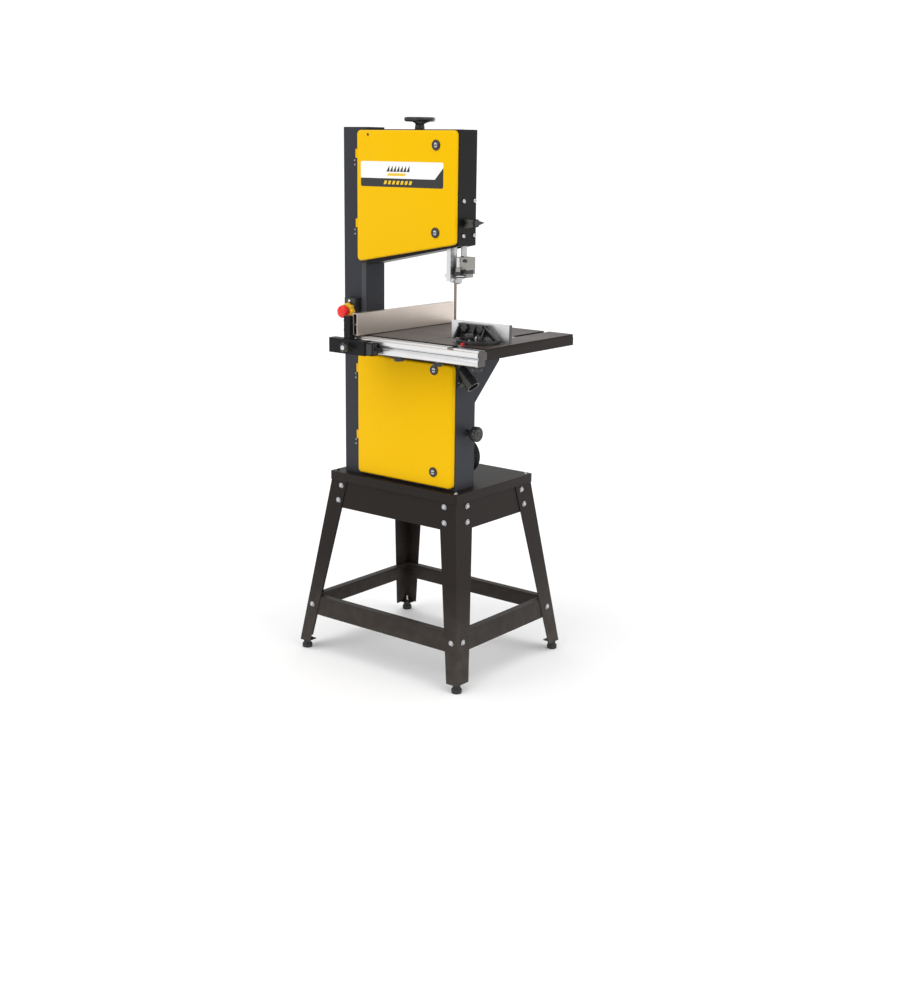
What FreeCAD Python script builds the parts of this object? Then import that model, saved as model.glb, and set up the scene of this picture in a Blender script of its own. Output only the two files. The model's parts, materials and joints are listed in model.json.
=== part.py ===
"""Band saw on a sheet-metal stand, built as a parametric document of separate sub-parts.

Every length is in millimetres.  X runs to the operator's right, Y away from the operator and
Z up.  All places are given from the middle of the stand on the floor, and each object's
Placement then moves it by centre_x and centre_y to the middle of the whole machine's outline.
"""
import FreeCAD, Part
import os
import re

import Sketcher

# ---------------------------------------------------------------- driving dimensions
SIZES = {
    "centre_x": 36.6, "centre_y": -38.7,          # middle of the outline, from the stand's middle
    "sheet_wall": 2.5,                            # steel sheet of stand and body
    "fit_gap": 0.3,                               # clearance between pieces that move apart
    "running_gap": 0.05,                          # radial play of a shaft or post in its bore
    # stand
    "plate_half_x": 238.5, "plate_half_y": 184.0, "plate_top": 554.0, "plate_lip": 26.0,
    "leg_top_x": 232.5, "leg_top_y": 177.5, "leg_foot_x": 305.0, "leg_foot_y": 253.5,
    "leg_foot_height": 25.0,
    "leg_front_top": 62.0, "leg_side_top": 79.0, "leg_front_foot": 39.0, "leg_side_foot": 53.0,
    "foot_inset_x": 13.5, "foot_inset_y": 16.0, "foot_radius": 15.0, "foot_tab": 34.0,
    "apron_low": 449.0, "apron_high": 540.0,
    "brace_low": 113.0, "brace_high": 169.0, "brace_flange": 20.0,
    "bolt_radius": 4.0, "bolt_head": 7.0, "bolt_play": 0.2, "bolt_lift": 1.1,
    "apron_bolt_low": 470.0, "apron_bolt_high": 514.0, "brace_bolt": 141.0,
    "corner_bolt_inset": 17.0,
    # body
    "body_half": 208.0, "body_front": -150.0, "column_right": -120.0, "column_face": -140.0,
    "upper_depth": 77.0, "lower_depth": 86.0, "column_top": 1545.0,
    "upper_top": 1539.0, "upper_floor_left": 1167.0, "upper_floor_right": 1234.0,
    "lower_top": 915.0, "rim_width": 18.0, "top_rim": 12.0,
    # doors
    "door_left": -144.0, "door_right": 205.0, "door_depth": 15.6, "door_gap": 0.4,
    "door_round": 12.0, "door_skin": 1.5, "upper_door_top": 1536.5, "upper_door_left_low": 1173.0,
    "upper_door_right_low": 1236.5, "lower_door_low": 562.0, "lower_door_high": 912.0,
    "hinge_x": -150.0, "hinge_y": -157.0, "knuckle_radius": 4.5, "pin_radius": 2.0,
    "hinge_half": 24.5, "lock_x": 142.0, "lock_radius": 13.5, "lock_reach": 58.0,
    # wheels and blade
    "wheel_x": 8.0, "upper_wheel_z": 1368.0, "lower_wheel_z": 746.0, "wheel_front": -112.0,
    "wheel_width": 22.0, "wheel_radius": 152.5, "tyre_thick": 2.5, "rim_thick": 8.0,
    "hub_radius": 27.0, "hub_bore": 17.5, "spindle_radius": 7.5, "web_thick": 7.0,
    "blade_gap": 0.6, "blade_thick": 0.6, "blade_width": 12.7,
    "screw_x": 14.0, "screw_y": -81.0, "screw_radius": 5.0,
    "handwheel_radius": 46.5, "handwheel_top": 1572.0,
    # drive
    "motor_x": 119.0, "motor_z": 622.0, "motor_radius": 52.0, "motor_back": 20.0,
    "motor_pulley_radius": 22.0, "wheel_pulley_radius": 55.0, "belt_width": 9.0, "belt_thick": 3.0,
    "belt_knob_y": -99.0, "belt_knob_z": 716.0, "belt_knob_radius": 22.5,
    # guide
    "post_x": 190.0, "post_y": -101.0, "post_radius": 8.5, "post_low": 1203.0, "post_high": 1500.0,
    "holder_low": 1252.0, "holder_high": 1362.0, "guide_knob_z": 1295.0,
    "guard_low": 1137.0, "guard_high": 1325.0, "roller_radius": 8.0,
    # table
    "table_left": -54.0, "table_right": 376.0, "table_front": -242.0, "table_back": 171.0,
    "table_top": 983.0, "table_plate": 9.0, "table_rib": 31.0, "rib_wide": 10.0,
    "slot_x": 284.0, "slot_wide": 18.4, "slot_deep": 6.0, "insert_radius": 34.0, "insert_thick": 4.0,
    "trunnion_radius": 55.0, "trunnion_thick": 16.0, "front_trunnion": -138.0, "rear_trunnion": 10.0,
    # rail, fence and mitre gauge
    "rail_left": -90.0, "rail_right": 380.0, "rail_front": -279.0, "rail_back": -249.0,
    "rail_low": 939.0, "rail_high": 981.0,
    "fence_right": -35.0, "fence_wide": 16.0, "fence_front": -287.0, "fence_back": 141.0,
    "fence_low": 984.5, "fence_high": 1046.0, "fence_wall": 2.2,
    "head_left": -124.0, "head_right": 8.0, "head_front": -306.0,
    "head_low": 934.0, "head_high": 975.0, "fence_knob_x": -51.0,
    "mitre_y": -150.0, "mitre_bar_front": -236.0, "mitre_bar_back": 10.0,
    "mitre_plate_left": 174.0, "mitre_plate_right": 373.0, "mitre_plate_y": -131.0,
    "mitre_plate_high": 1034.0, "mitre_slot": 44.0,
    # switch and dust outlet
    "switch_x": -164.0, "switch_z": 1034.0, "switch_half": 20.0, "switch_low": 1004.0,
    "switch_high": 1071.0, "switch_depth": 26.0, "stop_radius": 18.0, "stop_stem": 9.0, "stop_travel": 5.0,
    "chute_y": -127.0, "chute_z": 895.0, "chute_radius": 17.0, "chute_bore": 15.5,
    "chute_length": 59.0, "spigot_radius": 19.0, "spigot_length": 28.0,
}

doc = FreeCAD.newDocument("BandSaw")
sizes = doc.addObject("Spreadsheet::Sheet", "Sizes")
for row, (alias, size) in enumerate(SIZES.items(), 1):
    sizes.set(f"A{row}", alias)
    sizes.set(f"B{row}", str(size))
    sizes.setAlias(f"B{row}", alias)
doc.recompute()
ALIAS = re.compile(r"\b(" + "|".join(sorted(SIZES, key=len, reverse=True)) + r")\b")


# ---------------------------------------------------------------- helpers
def full(expression):
    """The expression with each alias written out as a cell of the spreadsheet."""
    return ALIAS.sub(r"Sizes.\1", str(expression))


def number(expression):
    """What an expression is worth now."""
    return float(sizes.evalExpression(full(expression)))


def bind(thing, **properties):
    for name, expression in properties.items():
        thing.setExpression(name, full(expression))
    return thing


TURNS = {"z": ((1, 0, 0), 0), "-z": ((1, 0, 0), 180), "y": ((1, 0, 0), -90), "-y": ((1, 0, 0), 90),
         "x": ((0, 1, 0), 90), "-x": ((0, 1, 0), -90)}


def place(thing, x, y, z, axis="z"):
    """Puts an object's own origin at a point, with its own Z turned to an axis."""
    about, angle = TURNS[axis]
    turn = FreeCAD.Rotation(FreeCAD.Vector(*about), angle)
    thing.Placement = FreeCAD.Placement(FreeCAD.Vector(), turn)
    thing.setExpression("Placement.Base.x", full(f"({x}) - centre_x"))
    thing.setExpression("Placement.Base.y", full(f"({y}) - centre_y"))
    thing.setExpression("Placement.Base.z", full(z))
    return thing


def box(x, y, z):
    """A block between two values on each axis."""
    block = doc.addObject("Part::Box", "block")
    bind(block, Length=f"({x[1]}) - ({x[0]})", Width=f"({y[1]}) - ({y[0]})",
         Height=f"({z[1]}) - ({z[0]})")
    return place(block, x[0], y[0], z[0])


def rod(axis, x, y, z, radius, length):
    bar = doc.addObject("Part::Cylinder", "rod")
    bind(bar, Radius=radius, Height=length)
    return place(bar, x, y, z, axis)


def cone(axis, x, y, z, start, end, length):
    taper = doc.addObject("Part::Cone", "taper")
    bind(taper, Radius1=start, Radius2=end, Height=length)
    return place(taper, x, y, z, axis)


def sector(x, y, z, radius, height, start, sweep):
    """A slice of an upright cylinder, from one angle round to another."""
    slice_ = doc.addObject("Part::Cylinder", "sector")
    slice_.Angle = sweep
    bind(slice_, Radius=radius, Height=height)
    place(slice_, x, y, z)
    turn = FreeCAD.Rotation(FreeCAD.Vector(0, 0, 1), start)
    slice_.Placement = FreeCAD.Placement(slice_.Placement.Base, turn)
    return slice_


def hexagon(axis, x, y, z, radius, length):
    nut = doc.addObject("Part::Prism", "hexagon")
    nut.Polygon = 6
    bind(nut, Circumradius=radius, Height=length)
    return place(nut, x, y, z, axis)


def join(*pieces):
    union = doc.addObject("Part::MultiFuse", "union")
    union.Shapes = list(pieces)
    return union


def group(*pieces):
    """Separate solids that share one node."""
    together = doc.addObject("Part::Compound", "group")
    together.Links = list(pieces)
    return together


def cut(base, *tools):
    difference = doc.addObject("Part::Cut", "difference")
    difference.Base = base
    difference.Tool = tools[0] if len(tools) == 1 else join(*tools)
    return difference


def common(first, second):
    overlap = doc.addObject("Part::Common", "overlap")
    overlap.Base = first
    overlap.Tool = second
    return overlap


def outline(sketch, points):
    """Draws a closed outline whose corners stay bound to their expressions."""
    values = [(number(a), number(b)) for a, b in points]
    first = sketch.GeometryCount
    count = len(points)
    for i, start in enumerate(values):
        end = values[(i + 1) % count]
        line = Part.LineSegment(FreeCAD.Vector(*start, 0), FreeCAD.Vector(*end, 0))
        sketch.addGeometry(line, False)
    for i in range(count):
        after = first + (i + 1) % count
        sketch.addConstraint(Sketcher.Constraint("Coincident", first + i, 2, after, 1))
    for i, point in enumerate(points):
        for kind, value, expression in zip(("DistanceX", "DistanceY"), values[i], point):
            tie = sketch.addConstraint(Sketcher.Constraint(kind, first + i, 1, value))
            sketch.setExpression(f"Constraints[{tie}]", full(expression))


def drawing(body, role, level, *outlines):
    """A sketch on one of the body's own planes, moved along the plane's normal."""
    plane = [item for item in body.Origin.OriginFeatures if item.Role == role][0]
    sketch = body.newObject("Sketcher::SketchObject", "drawing")
    sketch.AttachmentSupport = [(plane, "")]
    sketch.MapMode = "FlatFace"
    sketch.setExpression("AttachmentOffset.Base.z", full(level))
    for points in outlines:
        outline(sketch, points)
    return sketch


def padded(role, low, high, *outlines):
    """An outline given real thickness: XY from low to high Z, XZ in Y, YZ in X."""
    body = doc.addObject("PartDesign::Body", "body")
    backwards = role == "XZ_Plane"
    level = f"0 - ({low})" if backwards else low
    pad = body.newObject("PartDesign::Pad", "pad")
    pad.Profile = drawing(body, role, level, *outlines)
    pad.Reversed = backwards
    bind(pad, Length=f"({high}) - ({low})")
    return place(body, "0", "0", "0")


def lofted(low, low_outline, high, high_outline):
    """Straight walls between an outline at one height and its like at another."""
    body = doc.addObject("PartDesign::Body", "body")
    loft = body.newObject("PartDesign::AdditiveLoft", "loft")
    loft.Profile = drawing(body, "XY_Plane", low, low_outline)
    loft.Sections = [drawing(body, "XY_Plane", high, high_outline)]
    loft.Ruled = True
    return place(body, "0", "0", "0")


def turned(axis, x, y, z, *outlines):
    """Half outlines of radius and height, revolved about their own Z axis."""
    body = doc.addObject("PartDesign::Body", "body")
    sketch = drawing(body, "XZ_Plane", "0", *outlines)
    spin = body.newObject("PartDesign::Revolution", "spin")
    spin.Profile = sketch
    spin.ReferenceAxis = (sketch, ["V_Axis"])
    spin.Angle = 360
    return place(body, x, y, z, axis)


def rounded(body, pick, radius):
    """Rounds the edges of a body's last feature that a test picks."""
    doc.recompute()
    base = body.Tip
    names = [f"Edge{i}" for i, edge in enumerate(base.Shape.Edges, 1) if pick(edge)]
    fillet = body.newObject("PartDesign::Fillet", "rounding")
    fillet.Base = (base, names)
    bind(fillet, Radius=radius)
    return body


def along(axis, length):
    """Picks the straight edges that run along one axis and are as long as a length."""
    def pick(edge):
        bounds = edge.BoundBox
        spans = {"x": bounds.XLength, "y": bounds.YLength, "z": bounds.ZLength}
        straight = all(span < 1e-4 for name, span in spans.items() if name != axis)
        return straight and abs(spans[axis] - number(length)) < 1e-3
    return pick


def rectangle(x, y):
    return [(x[0], y[0]), (x[1], y[0]), (x[1], y[1]), (x[0], y[1])]


def polar(radius, angle):
    """The two coordinates of a point at an angle on a circle, as expressions."""
    return f"({radius}) * cos({angle})", f"({radius}) * sin({angle})"


def dome_bolt(axis, x, y, z, grip, head="bolt_head"):
    """A domed bolt through a sheet: head at the point, shank and nut along the axis."""
    outward = {"x": "-x", "-x": "x", "y": "-y", "-y": "y", "z": "-z", "-z": "z"}[axis]
    crown = cone(outward, x, y, z, head, f"({head}) * 0.45", "4.5")
    return join(crown, rod(axis, x, y, z, "bolt_radius", grip))


def spoke(x, y, z, angle, reach, width, height):
    """A bar that runs out from an upright axis at an angle."""
    bar = doc.addObject("Part::Box", "spoke")
    bind(bar, Length=reach, Width=width, Height=height)
    place(bar, f"{x} + ({width}) / 2 * sin({angle})", f"{y} - ({width}) / 2 * cos({angle})", z)
    turn = FreeCAD.Rotation(FreeCAD.Vector(0, 0, 1), angle)
    bar.Placement = FreeCAD.Placement(bar.Placement.Base, turn)
    return bar


def fluted_knob(axis, x, y, z, radius, length, flutes=8):
    """A round knob with finger flutes round its edge."""
    knob = rod(axis, x, y, z, radius, length)
    notches = []
    for i in range(flutes):
        across, along_it = polar(f"({radius}) + 2.2", 360 / flutes * i)
        offsets = {"x": ("0", across, along_it), "y": (across, "0", along_it),
                   "z": (across, along_it, "0")}[axis.strip("-")]
        spot = [f"({start}) + {offset}" for start, offset in zip((x, y, z), offsets)]
        notches.append(rod(axis, *spot, "4.5", length))
    return cut(knob, *notches)


finished = []


def sub_part(name, thing):
    """Names a finished sub-part, which is written to the file of that name."""
    thing.Label = name
    finished.append(thing)
    return thing


# ---------------------------------------------------------------- stand
LEG_TOP = "plate_top - sheet_wall"


def leg_edge(side, height):
    """How far out the legs' outer face is on an axis at a height."""
    share = f"(({LEG_TOP}) - ({height})) / (({LEG_TOP}) - leg_foot_height)"
    return f"(leg_top_{side} + (leg_foot_{side} - leg_top_{side}) * {share})"


def leg_section(side_x, side_y, height, front, flank):
    """The angle section of a leg, with its corner outwards."""
    across = leg_edge("x", height)
    deep = leg_edge("y", height)
    corners = [("0", "0"), (front, "0"), (front, "sheet_wall"), ("sheet_wall", "sheet_wall"),
               ("sheet_wall", flank), ("0", flank)]
    return [(f"{side_x} * ({across} - ({a}))", f"{side_y} * ({deep} - ({b}))") for a, b in corners]


def leg_bolts(side_x, side_y):
    """Where a leg's bolts pass: axis pointing inwards, and a point on its outer face."""
    spots = []
    for height, front, flank in (("apron_bolt_high", 42, 52), ("apron_bolt_low", 42, 52),
                                 ("brace_bolt", 20, 28)):
        across = leg_edge("x", height)
        deep = leg_edge("y", height)
        to_middle_y = "y" if side_y < 0 else "-y"
        to_middle_x = "x" if side_x < 0 else "-x"
        spots.append((to_middle_y, f"{side_x} * ({across} - {front})",
                      f"{side_y} * ({deep} + bolt_lift)", height))
        spots.append((to_middle_x, f"{side_x} * ({across} + bolt_lift)",
                      f"{side_y} * ({deep} - {flank})", height))
    return spots


CORNERS = [(-1, -1), (1, -1), (-1, 1), (1, 1)]
ALL_LEG_BOLTS = [spot for corner in CORNERS for spot in leg_bolts(*corner)]


def bolt_holes():
    return [rod(*spot, "bolt_radius + bolt_play", "20") for spot in ALL_LEG_BOLTS]


def foot_spot(side_x, side_y):
    return f"{side_x} * (leg_foot_x - foot_inset_x)", f"{side_y} * (leg_foot_y - foot_inset_y)"


def make_leg(side_x, side_y):
    foot = leg_section(side_x, side_y, "leg_foot_height", "leg_front_foot", "leg_side_foot")
    head = leg_section(side_x, side_y, LEG_TOP, "leg_front_top", "leg_side_top")
    angle = lofted("leg_foot_height", foot, LEG_TOP, head)
    near_x, near_y = [f"{side} * (leg_foot_{name} - 1.2)"
                      for side, name in ((side_x, "x"), (side_y, "y"))]
    far_x, far_y = [f"{side} * (leg_foot_{name} - foot_tab)"
                    for side, name in ((side_x, "x"), (side_y, "y"))]
    reach_x = (near_x, far_x) if side_x < 0 else (far_x, near_x)
    reach_y = (near_y, far_y) if side_y < 0 else (far_y, near_y)
    tab = box(reach_x, reach_y, ("leg_foot_height", "leg_foot_height + sheet_wall"))
    stud = rod("z", *foot_spot(side_x, side_y), "leg_foot_height - 1", "bolt_radius + bolt_play", "5")
    holes = [rod(*spot, "bolt_radius + bolt_play", "20") for spot in leg_bolts(side_x, side_y)]
    return cut(join(angle, tab), stud, *holes)


def stand_legs():
    return group(*[make_leg(*corner) for corner in CORNERS])


def side_panel(axis, side, low, high, shorten):
    """A sloping sheet between two legs, flat on the inside of their flanges."""
    def section(height):
        other = "y" if axis == "x" else "x"
        half = f"({leg_edge(axis, height)} - {shorten})"
        out = f"{side} * ({leg_edge(other, height)} - sheet_wall)"
        inner = f"{side} * ({leg_edge(other, height)} - 2 * sheet_wall)"
        points = rectangle((f"0 - {half}", half), (out, inner))
        return points if axis == "x" else [(b, a) for a, b in points]
    return lofted(low, section(low), high, section(high))


def stand_aprons():
    panels = [side_panel("x", side, "apron_low", "apron_high", "(2 * sheet_wall + 1)")
              for side in (-1, 1)]
    panels += [side_panel("y", side, "apron_low", "apron_high", "sheet_wall") for side in (-1, 1)]
    return group(*[cut(panel, *bolt_holes()) for panel in panels])


def stand_braces():
    top = ("brace_high - sheet_wall", "brace_high")
    braces = []
    for side in (-1, 1):
        web = side_panel("x", side, "brace_low", "brace_high", "(2 * sheet_wall + 1)")
        half = f"({leg_edge('x', 'brace_high - sheet_wall')} - 2 * sheet_wall - 1)"
        edge = f"({leg_edge('y', 'brace_high')} - 1.5 * sheet_wall)"
        reach = (f"{side} * {edge}", f"{side} * ({edge} - brace_flange)")
        flange = box((f"0 - {half}", half), reach if side < 0 else reach[::-1], top)
        braces.append(cut(join(web, flange), *bolt_holes()))
    for side in (-1, 1):
        web = side_panel("y", side, "brace_low", "brace_high", "sheet_wall")
        half = f"({leg_edge('y', 'brace_high')} - 2 * sheet_wall - brace_flange - 1)"
        edge = f"({leg_edge('x', 'brace_high')} - 1.5 * sheet_wall)"
        reach = (f"{side} * {edge}", f"{side} * ({edge} - brace_flange)")
        flange = box(reach if side < 0 else reach[::-1], (f"0 - {half}", half), top)
        braces.append(cut(join(web, flange), *bolt_holes()))
    return group(*braces)


def stand_top_plate():
    slab = padded("XY_Plane", "plate_top - plate_lip", "plate_top",
                  rectangle(("0 - plate_half_x", "plate_half_x"), ("0 - plate_half_y", "plate_half_y")))
    rounded(slab, along("z", "plate_lip"), "5")
    inside = box(("sheet_wall - plate_half_x", "plate_half_x - sheet_wall"),
                 ("sheet_wall - plate_half_y", "plate_half_y - sheet_wall"),
                 ("plate_top - plate_lip - 1", LEG_TOP))
    holes = [rod("-z", *spot, "plate_top + 1", "bolt_radius + bolt_play", "sheet_wall + 2")
             for spot in corner_bolt_spots()]
    return cut(slab, inside, *holes)


def corner_bolt_spots():
    return [(f"{a} * (plate_half_x - corner_bolt_inset)", f"{b} * (plate_half_y - corner_bolt_inset)")
            for a, b in CORNERS]


def levelling_feet():
    feet = []
    for corner in CORNERS:
        feet.append(turned("z", *foot_spot(*corner), "0", [
            ("0", "0"), ("foot_radius - 1", "0"), ("foot_radius", "2"), ("foot_radius", "12"),
            ("foot_radius - 4", "14"), ("foot_radius - 4", "leg_foot_height - 3"),
            ("0", "leg_foot_height - 3")]))
    return group(*feet)


def stand_bolts():
    pieces = [dome_bolt(*spot, "14") for spot in ALL_LEG_BOLTS]
    for corner in CORNERS:
        spot = foot_spot(*corner)
        stud = rod("z", *spot, "leg_foot_height - 3", "bolt_radius", "24")
        nut = hexagon("z", *spot, "leg_foot_height + sheet_wall + 0.1", "7.5", "6")
        pieces.append(join(stud, nut))
    return group(*pieces)


def body_bolts():
    """Domed bolts on the plate's corners and on the right panel, into the post holder."""
    pieces = [dome_bolt("-z", *spot, "plate_top + 0.1", "12", "8.5") for spot in corner_bolt_spots()]
    pieces += [dome_bolt("-x", "body_half + 0.1", *spot, "20") for spot in holder_bolt_spots()]
    return group(*pieces)


# ---------------------------------------------------------------- body
UPPER_BACK = "(body_front + upper_depth)"
LOWER_BACK = "(body_front + lower_depth)"
INNER_FRONT = "(body_front + sheet_wall)"
BLADE_X = "(wheel_x + wheel_radius + blade_gap + blade_thick / 2)"
BLADE_Y = "(wheel_front + wheel_width / 2)"


def floor_height(x, rise="0"):
    """The height of the upper housing's slanting floor at a place along X."""
    slope = "(upper_floor_right - upper_floor_left) / (body_half - column_right)"
    return f"(upper_floor_left + {slope} * (({x}) - column_right) + {rise})"


def column():
    shell = padded("XY_Plane", "plate_top", "column_top", rectangle(
        ("0 - body_half", "column_right"), ("body_front", UPPER_BACK)))
    rounded(shell, along("z", "column_top - plate_top"), "3")
    inside = box(("sheet_wall - body_half", "column_right - sheet_wall"),
                 (INNER_FRONT, f"{UPPER_BACK} - sheet_wall"),
                 ("plate_top + sheet_wall", "column_top - sheet_wall"))
    ways = []
    for low, high in (("plate_top + sheet_wall", "lower_top - sheet_wall"),
                      (floor_height("column_right", "sheet_wall + 2"), "upper_top - sheet_wall")):
        ways.append(box(("column_right - sheet_wall - 4", "column_right + 1"),
                        (INNER_FRONT, f"{UPPER_BACK} - sheet_wall"), (low, high)))
        ways.append(box(("column_face", "column_right + 1"),
                        ("body_front - 1", f"{INNER_FRONT} + 1"), (f"{low} + 14", f"{high} - 14")))
    return cut(shell, inside, *ways)


def upper_housing():
    outer = [("column_right", "upper_floor_left"), ("body_half", "upper_floor_right"),
             ("body_half", "upper_top"), ("column_right", "upper_top")]
    shell = padded("XZ_Plane", "body_front", UPPER_BACK, outer)
    wall = "body_half - sheet_wall"
    hollow = padded("XZ_Plane", INNER_FRONT, f"{UPPER_BACK} - sheet_wall", [
        ("column_right - 1", floor_height("column_right - 1", "sheet_wall")),
        (wall, floor_height(wall, "sheet_wall")), (wall, "upper_top - sheet_wall"),
        ("column_right - 1", "upper_top - sheet_wall")])
    rim = "body_half - rim_width"
    mouth = padded("XZ_Plane", "body_front - 1", f"{INNER_FRONT} + 1", [
        ("column_right - 1", floor_height("column_right - 1", "rim_width")),
        (rim, floor_height(rim, "rim_width")), (rim, "upper_top - rim_width"),
        ("column_right - 1", "upper_top - rim_width")])
    floor_slot = box(("148", "203"), ("0 - 136", "0 - 77"),
                     ("upper_floor_right - 26", "upper_floor_right + 8"))
    screw_hole = rod("z", "screw_x", "screw_y", "upper_top - 5", "screw_radius + 0.4", "10")
    tracking_slot = box(("wheel_x - 6", "wheel_x + 6"), (f"{UPPER_BACK} - 5", f"{UPPER_BACK} + 1"),
                        ("upper_wheel_z - 38", "upper_wheel_z - 8"))
    knob_hole = rod("-x", "body_half + 1", "post_y", "guide_knob_z", "bolt_radius + 0.3", "6")
    holes = [rod("-x", "body_half + 1", *spot, "bolt_radius + bolt_play", "6")
             for spot in holder_bolt_spots()]
    shaped = cut(shell, hollow, mouth, floor_slot, screw_hole, tracking_slot, knob_hole, *holes)
    strips = [box((start, f"{start} + 5"), ("0 - 84", f"{UPPER_BACK} - sheet_wall + 0.5"),
                  ("upper_wheel_z - 60", "upper_wheel_z + 75"))
              for start in ("wheel_x - 39 - fit_gap", "wheel_x + 34 + fit_gap")]
    return join(shaped, *strips)


def lower_housing():
    shell = box(("column_right", "body_half"), ("body_front", LOWER_BACK), ("plate_top", "lower_top"))
    hollow = box(("column_right - 1", "body_half - sheet_wall"), (INNER_FRONT, f"{UPPER_BACK} - sheet_wall"),
                 ("plate_top + sheet_wall", "lower_top - sheet_wall"))
    deep = box(("column_right + sheet_wall", "body_half - sheet_wall"),
               (INNER_FRONT, f"{LOWER_BACK} - sheet_wall"),
               ("plate_top + sheet_wall", "lower_top - sheet_wall"))
    mouth = box(("column_right - 1", "body_half - rim_width"), ("body_front - 1", f"{INNER_FRONT} + 1"),
                ("plate_top + rim_width", "lower_top - top_rim"))
    blade_slot = box((f"{BLADE_X} - 7", f"{BLADE_X} + 7"), (f"{BLADE_Y} - 12", f"{BLADE_Y} + 12"),
                     ("lower_top - 6", "lower_top + 1"))
    shaft_hole = rod("y", "motor_x", f"{LOWER_BACK} - 6", "motor_z", "16", "8")
    knob_hole = rod("-x", "body_half + 1", "belt_knob_y", "belt_knob_z", "bolt_radius + running_gap", "6")
    chute_hole = rod("-x", "body_half + 1", "chute_y", "chute_z", "chute_bore", "6")
    shaped = cut(shell, hollow, deep, mouth, blade_slot, shaft_hole, knob_hole, chute_hole)
    return shaped


def table_support():
    """Welded bracket behind the lower housing that carries the rear of the table."""
    side = [(LOWER_BACK, "796"), ("49", "905"), ("49", "lower_top"), (LOWER_BACK, "lower_top")]
    right = padded("YZ_Plane", "body_half - sheet_wall", "body_half", side)
    left = padded("YZ_Plane", "96", "96 + sheet_wall", side)
    shelf = box(("96", "body_half"), (LOWER_BACK, "49"), ("lower_top - sheet_wall", "lower_top"))
    return join(right, left, shelf)


def hinge_spots():
    return ["1461", "1270", "857", "661"]


def hinge_frame_leaves():
    leaves = []
    for middle in hinge_spots():
        low, high = f"{middle} - hinge_half", f"{middle} - fit_gap / 2"
        leaf = box(("hinge_x - 20", "hinge_x + 2"), ("body_front - 1.6", "body_front"), (low, high))
        web = box(("hinge_x - 3", "hinge_x + 2"), ("hinge_y", "body_front - 1"), (low, high))
        knuckle = rod("z", "hinge_x", "hinge_y", low, "knuckle_radius", "hinge_half - fit_gap / 2")
        pin = rod("z", "hinge_x", "hinge_y", low, "pin_radius", "2 * hinge_half - 2")
        leaves.append(join(leaf, web, knuckle, pin))
    return group(*leaves)


def switch_box():
    case = box(("switch_x - switch_half", "switch_x + switch_half"),
               ("body_front - switch_depth", "body_front"), ("switch_low", "switch_high"))
    screw = rod("-y", "switch_x", "body_front - switch_depth + 0.5", "switch_high - 8", "3.5", "2")
    return join(case, screw)


def switch_collar():
    """Lobed guard ring round the stop button."""
    front = "body_front - switch_depth"
    ring = rod("-y", "switch_x", front, "switch_z", "23", "16")
    lobes = []
    for i in range(8):
        across, up = polar("21", 45 * i + 22.5)
        lobes.append(rod("-y", f"switch_x + {across}", front, f"switch_z + {up}", "5", "18"))
    bore = rod("-y", "switch_x", f"{front} + 1", "switch_z", "stop_stem + fit_gap", "22")
    return cut(join(ring, *lobes), bore)


def dust_chute():
    """Flanged outlet on the right panel that points down and outwards at 45 degrees."""
    flange = box(("body_half", "body_half + 4"), ("chute_y - 22", "chute_y + 22"),
                 ("chute_z - 45", "chute_z + 15"))
    slope = FreeCAD.Rotation(FreeCAD.Vector(0, 1, 0), 135)
    behind = 30

    def tube(start, radius, length):
        """A tube along the slope, from a distance past the point where it starts inside."""
        pipe = doc.addObject("Part::Cylinder", "tube")
        bind(pipe, Radius=radius, Height=length)
        along_x, along_z = polar(start, 45)
        place(pipe, f"body_half - {behind} * cos(45) + {along_x}", "chute_y",
              f"chute_z + {behind} * sin(45) - {along_z}")
        pipe.Placement = FreeCAD.Placement(pipe.Placement.Base, slope)
        return pipe

    root = tube("0", "chute_radius", f"chute_length + {behind} - spigot_length + 1")
    spigot = tube(f"chute_length + {behind} - spigot_length", "spigot_radius", "spigot_length")
    bore = tube("0 - 2", "chute_bore", f"chute_length + {behind} + 12")
    outside = box(("body_half", "body_half + 120"), ("chute_y - 40", "chute_y + 40"),
                  ("chute_z - 120", "chute_z + 60"))
    return cut(join(flange, common(root, outside), spigot), bore)


# ---------------------------------------------------------------- doors and their locks
def door_shell(left_low, right_low, high, hinge_middles, lock_heights):
    """A folded door: front skin, lips round the edge, door knuckles and lock holes."""
    front = "body_front - door_gap - door_depth"
    back = "body_front - door_gap"
    edge = [("door_left", left_low), ("door_right", right_low), ("door_right", high), ("door_left", high)]
    pan = padded("XZ_Plane", front, back, edge)
    rounded(pan, along("y", "door_depth"), "door_round")
    inset = "door_skin + 1"
    hollow = padded("XZ_Plane", f"{front} + door_skin", f"{back} + 1", [
        (f"door_left + {inset}", f"{left_low} + {inset}"),
        (f"door_right - {inset}", f"{right_low} + {inset}"),
        (f"door_right - {inset}", f"{high} - {inset}"),
        (f"door_left + {inset}", f"{high} - {inset}")])
    rounded(hollow, along("y", "door_depth - door_skin + 1"), f"door_round - {inset}")
    holes = [rod("y", "lock_x", f"{front} - 1", z, "7 + running_gap", "5") for z in lock_heights]
    knuckles = []
    for middle in hinge_middles:
        low = f"{middle} + fit_gap / 2"
        tall = "hinge_half - fit_gap / 2"
        knuckle = rod("z", "hinge_x", "hinge_y", low, "knuckle_radius", tall)
        web = box(("hinge_x", "door_left + 1"), ("hinge_y - 2", "hinge_y + 2"), (low, f"{low} + {tall}"))
        bore = rod("z", "hinge_x", "hinge_y", f"{middle} - 1", "pin_radius + running_gap", "hinge_half + 3")
        knuckles.append(cut(join(knuckle, web), bore))
    return join(cut(pan, hollow, *holes), *knuckles)


UPPER_LOCKS = ("1498", "1268")
LOWER_LOCKS = ("894", "604")


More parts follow.
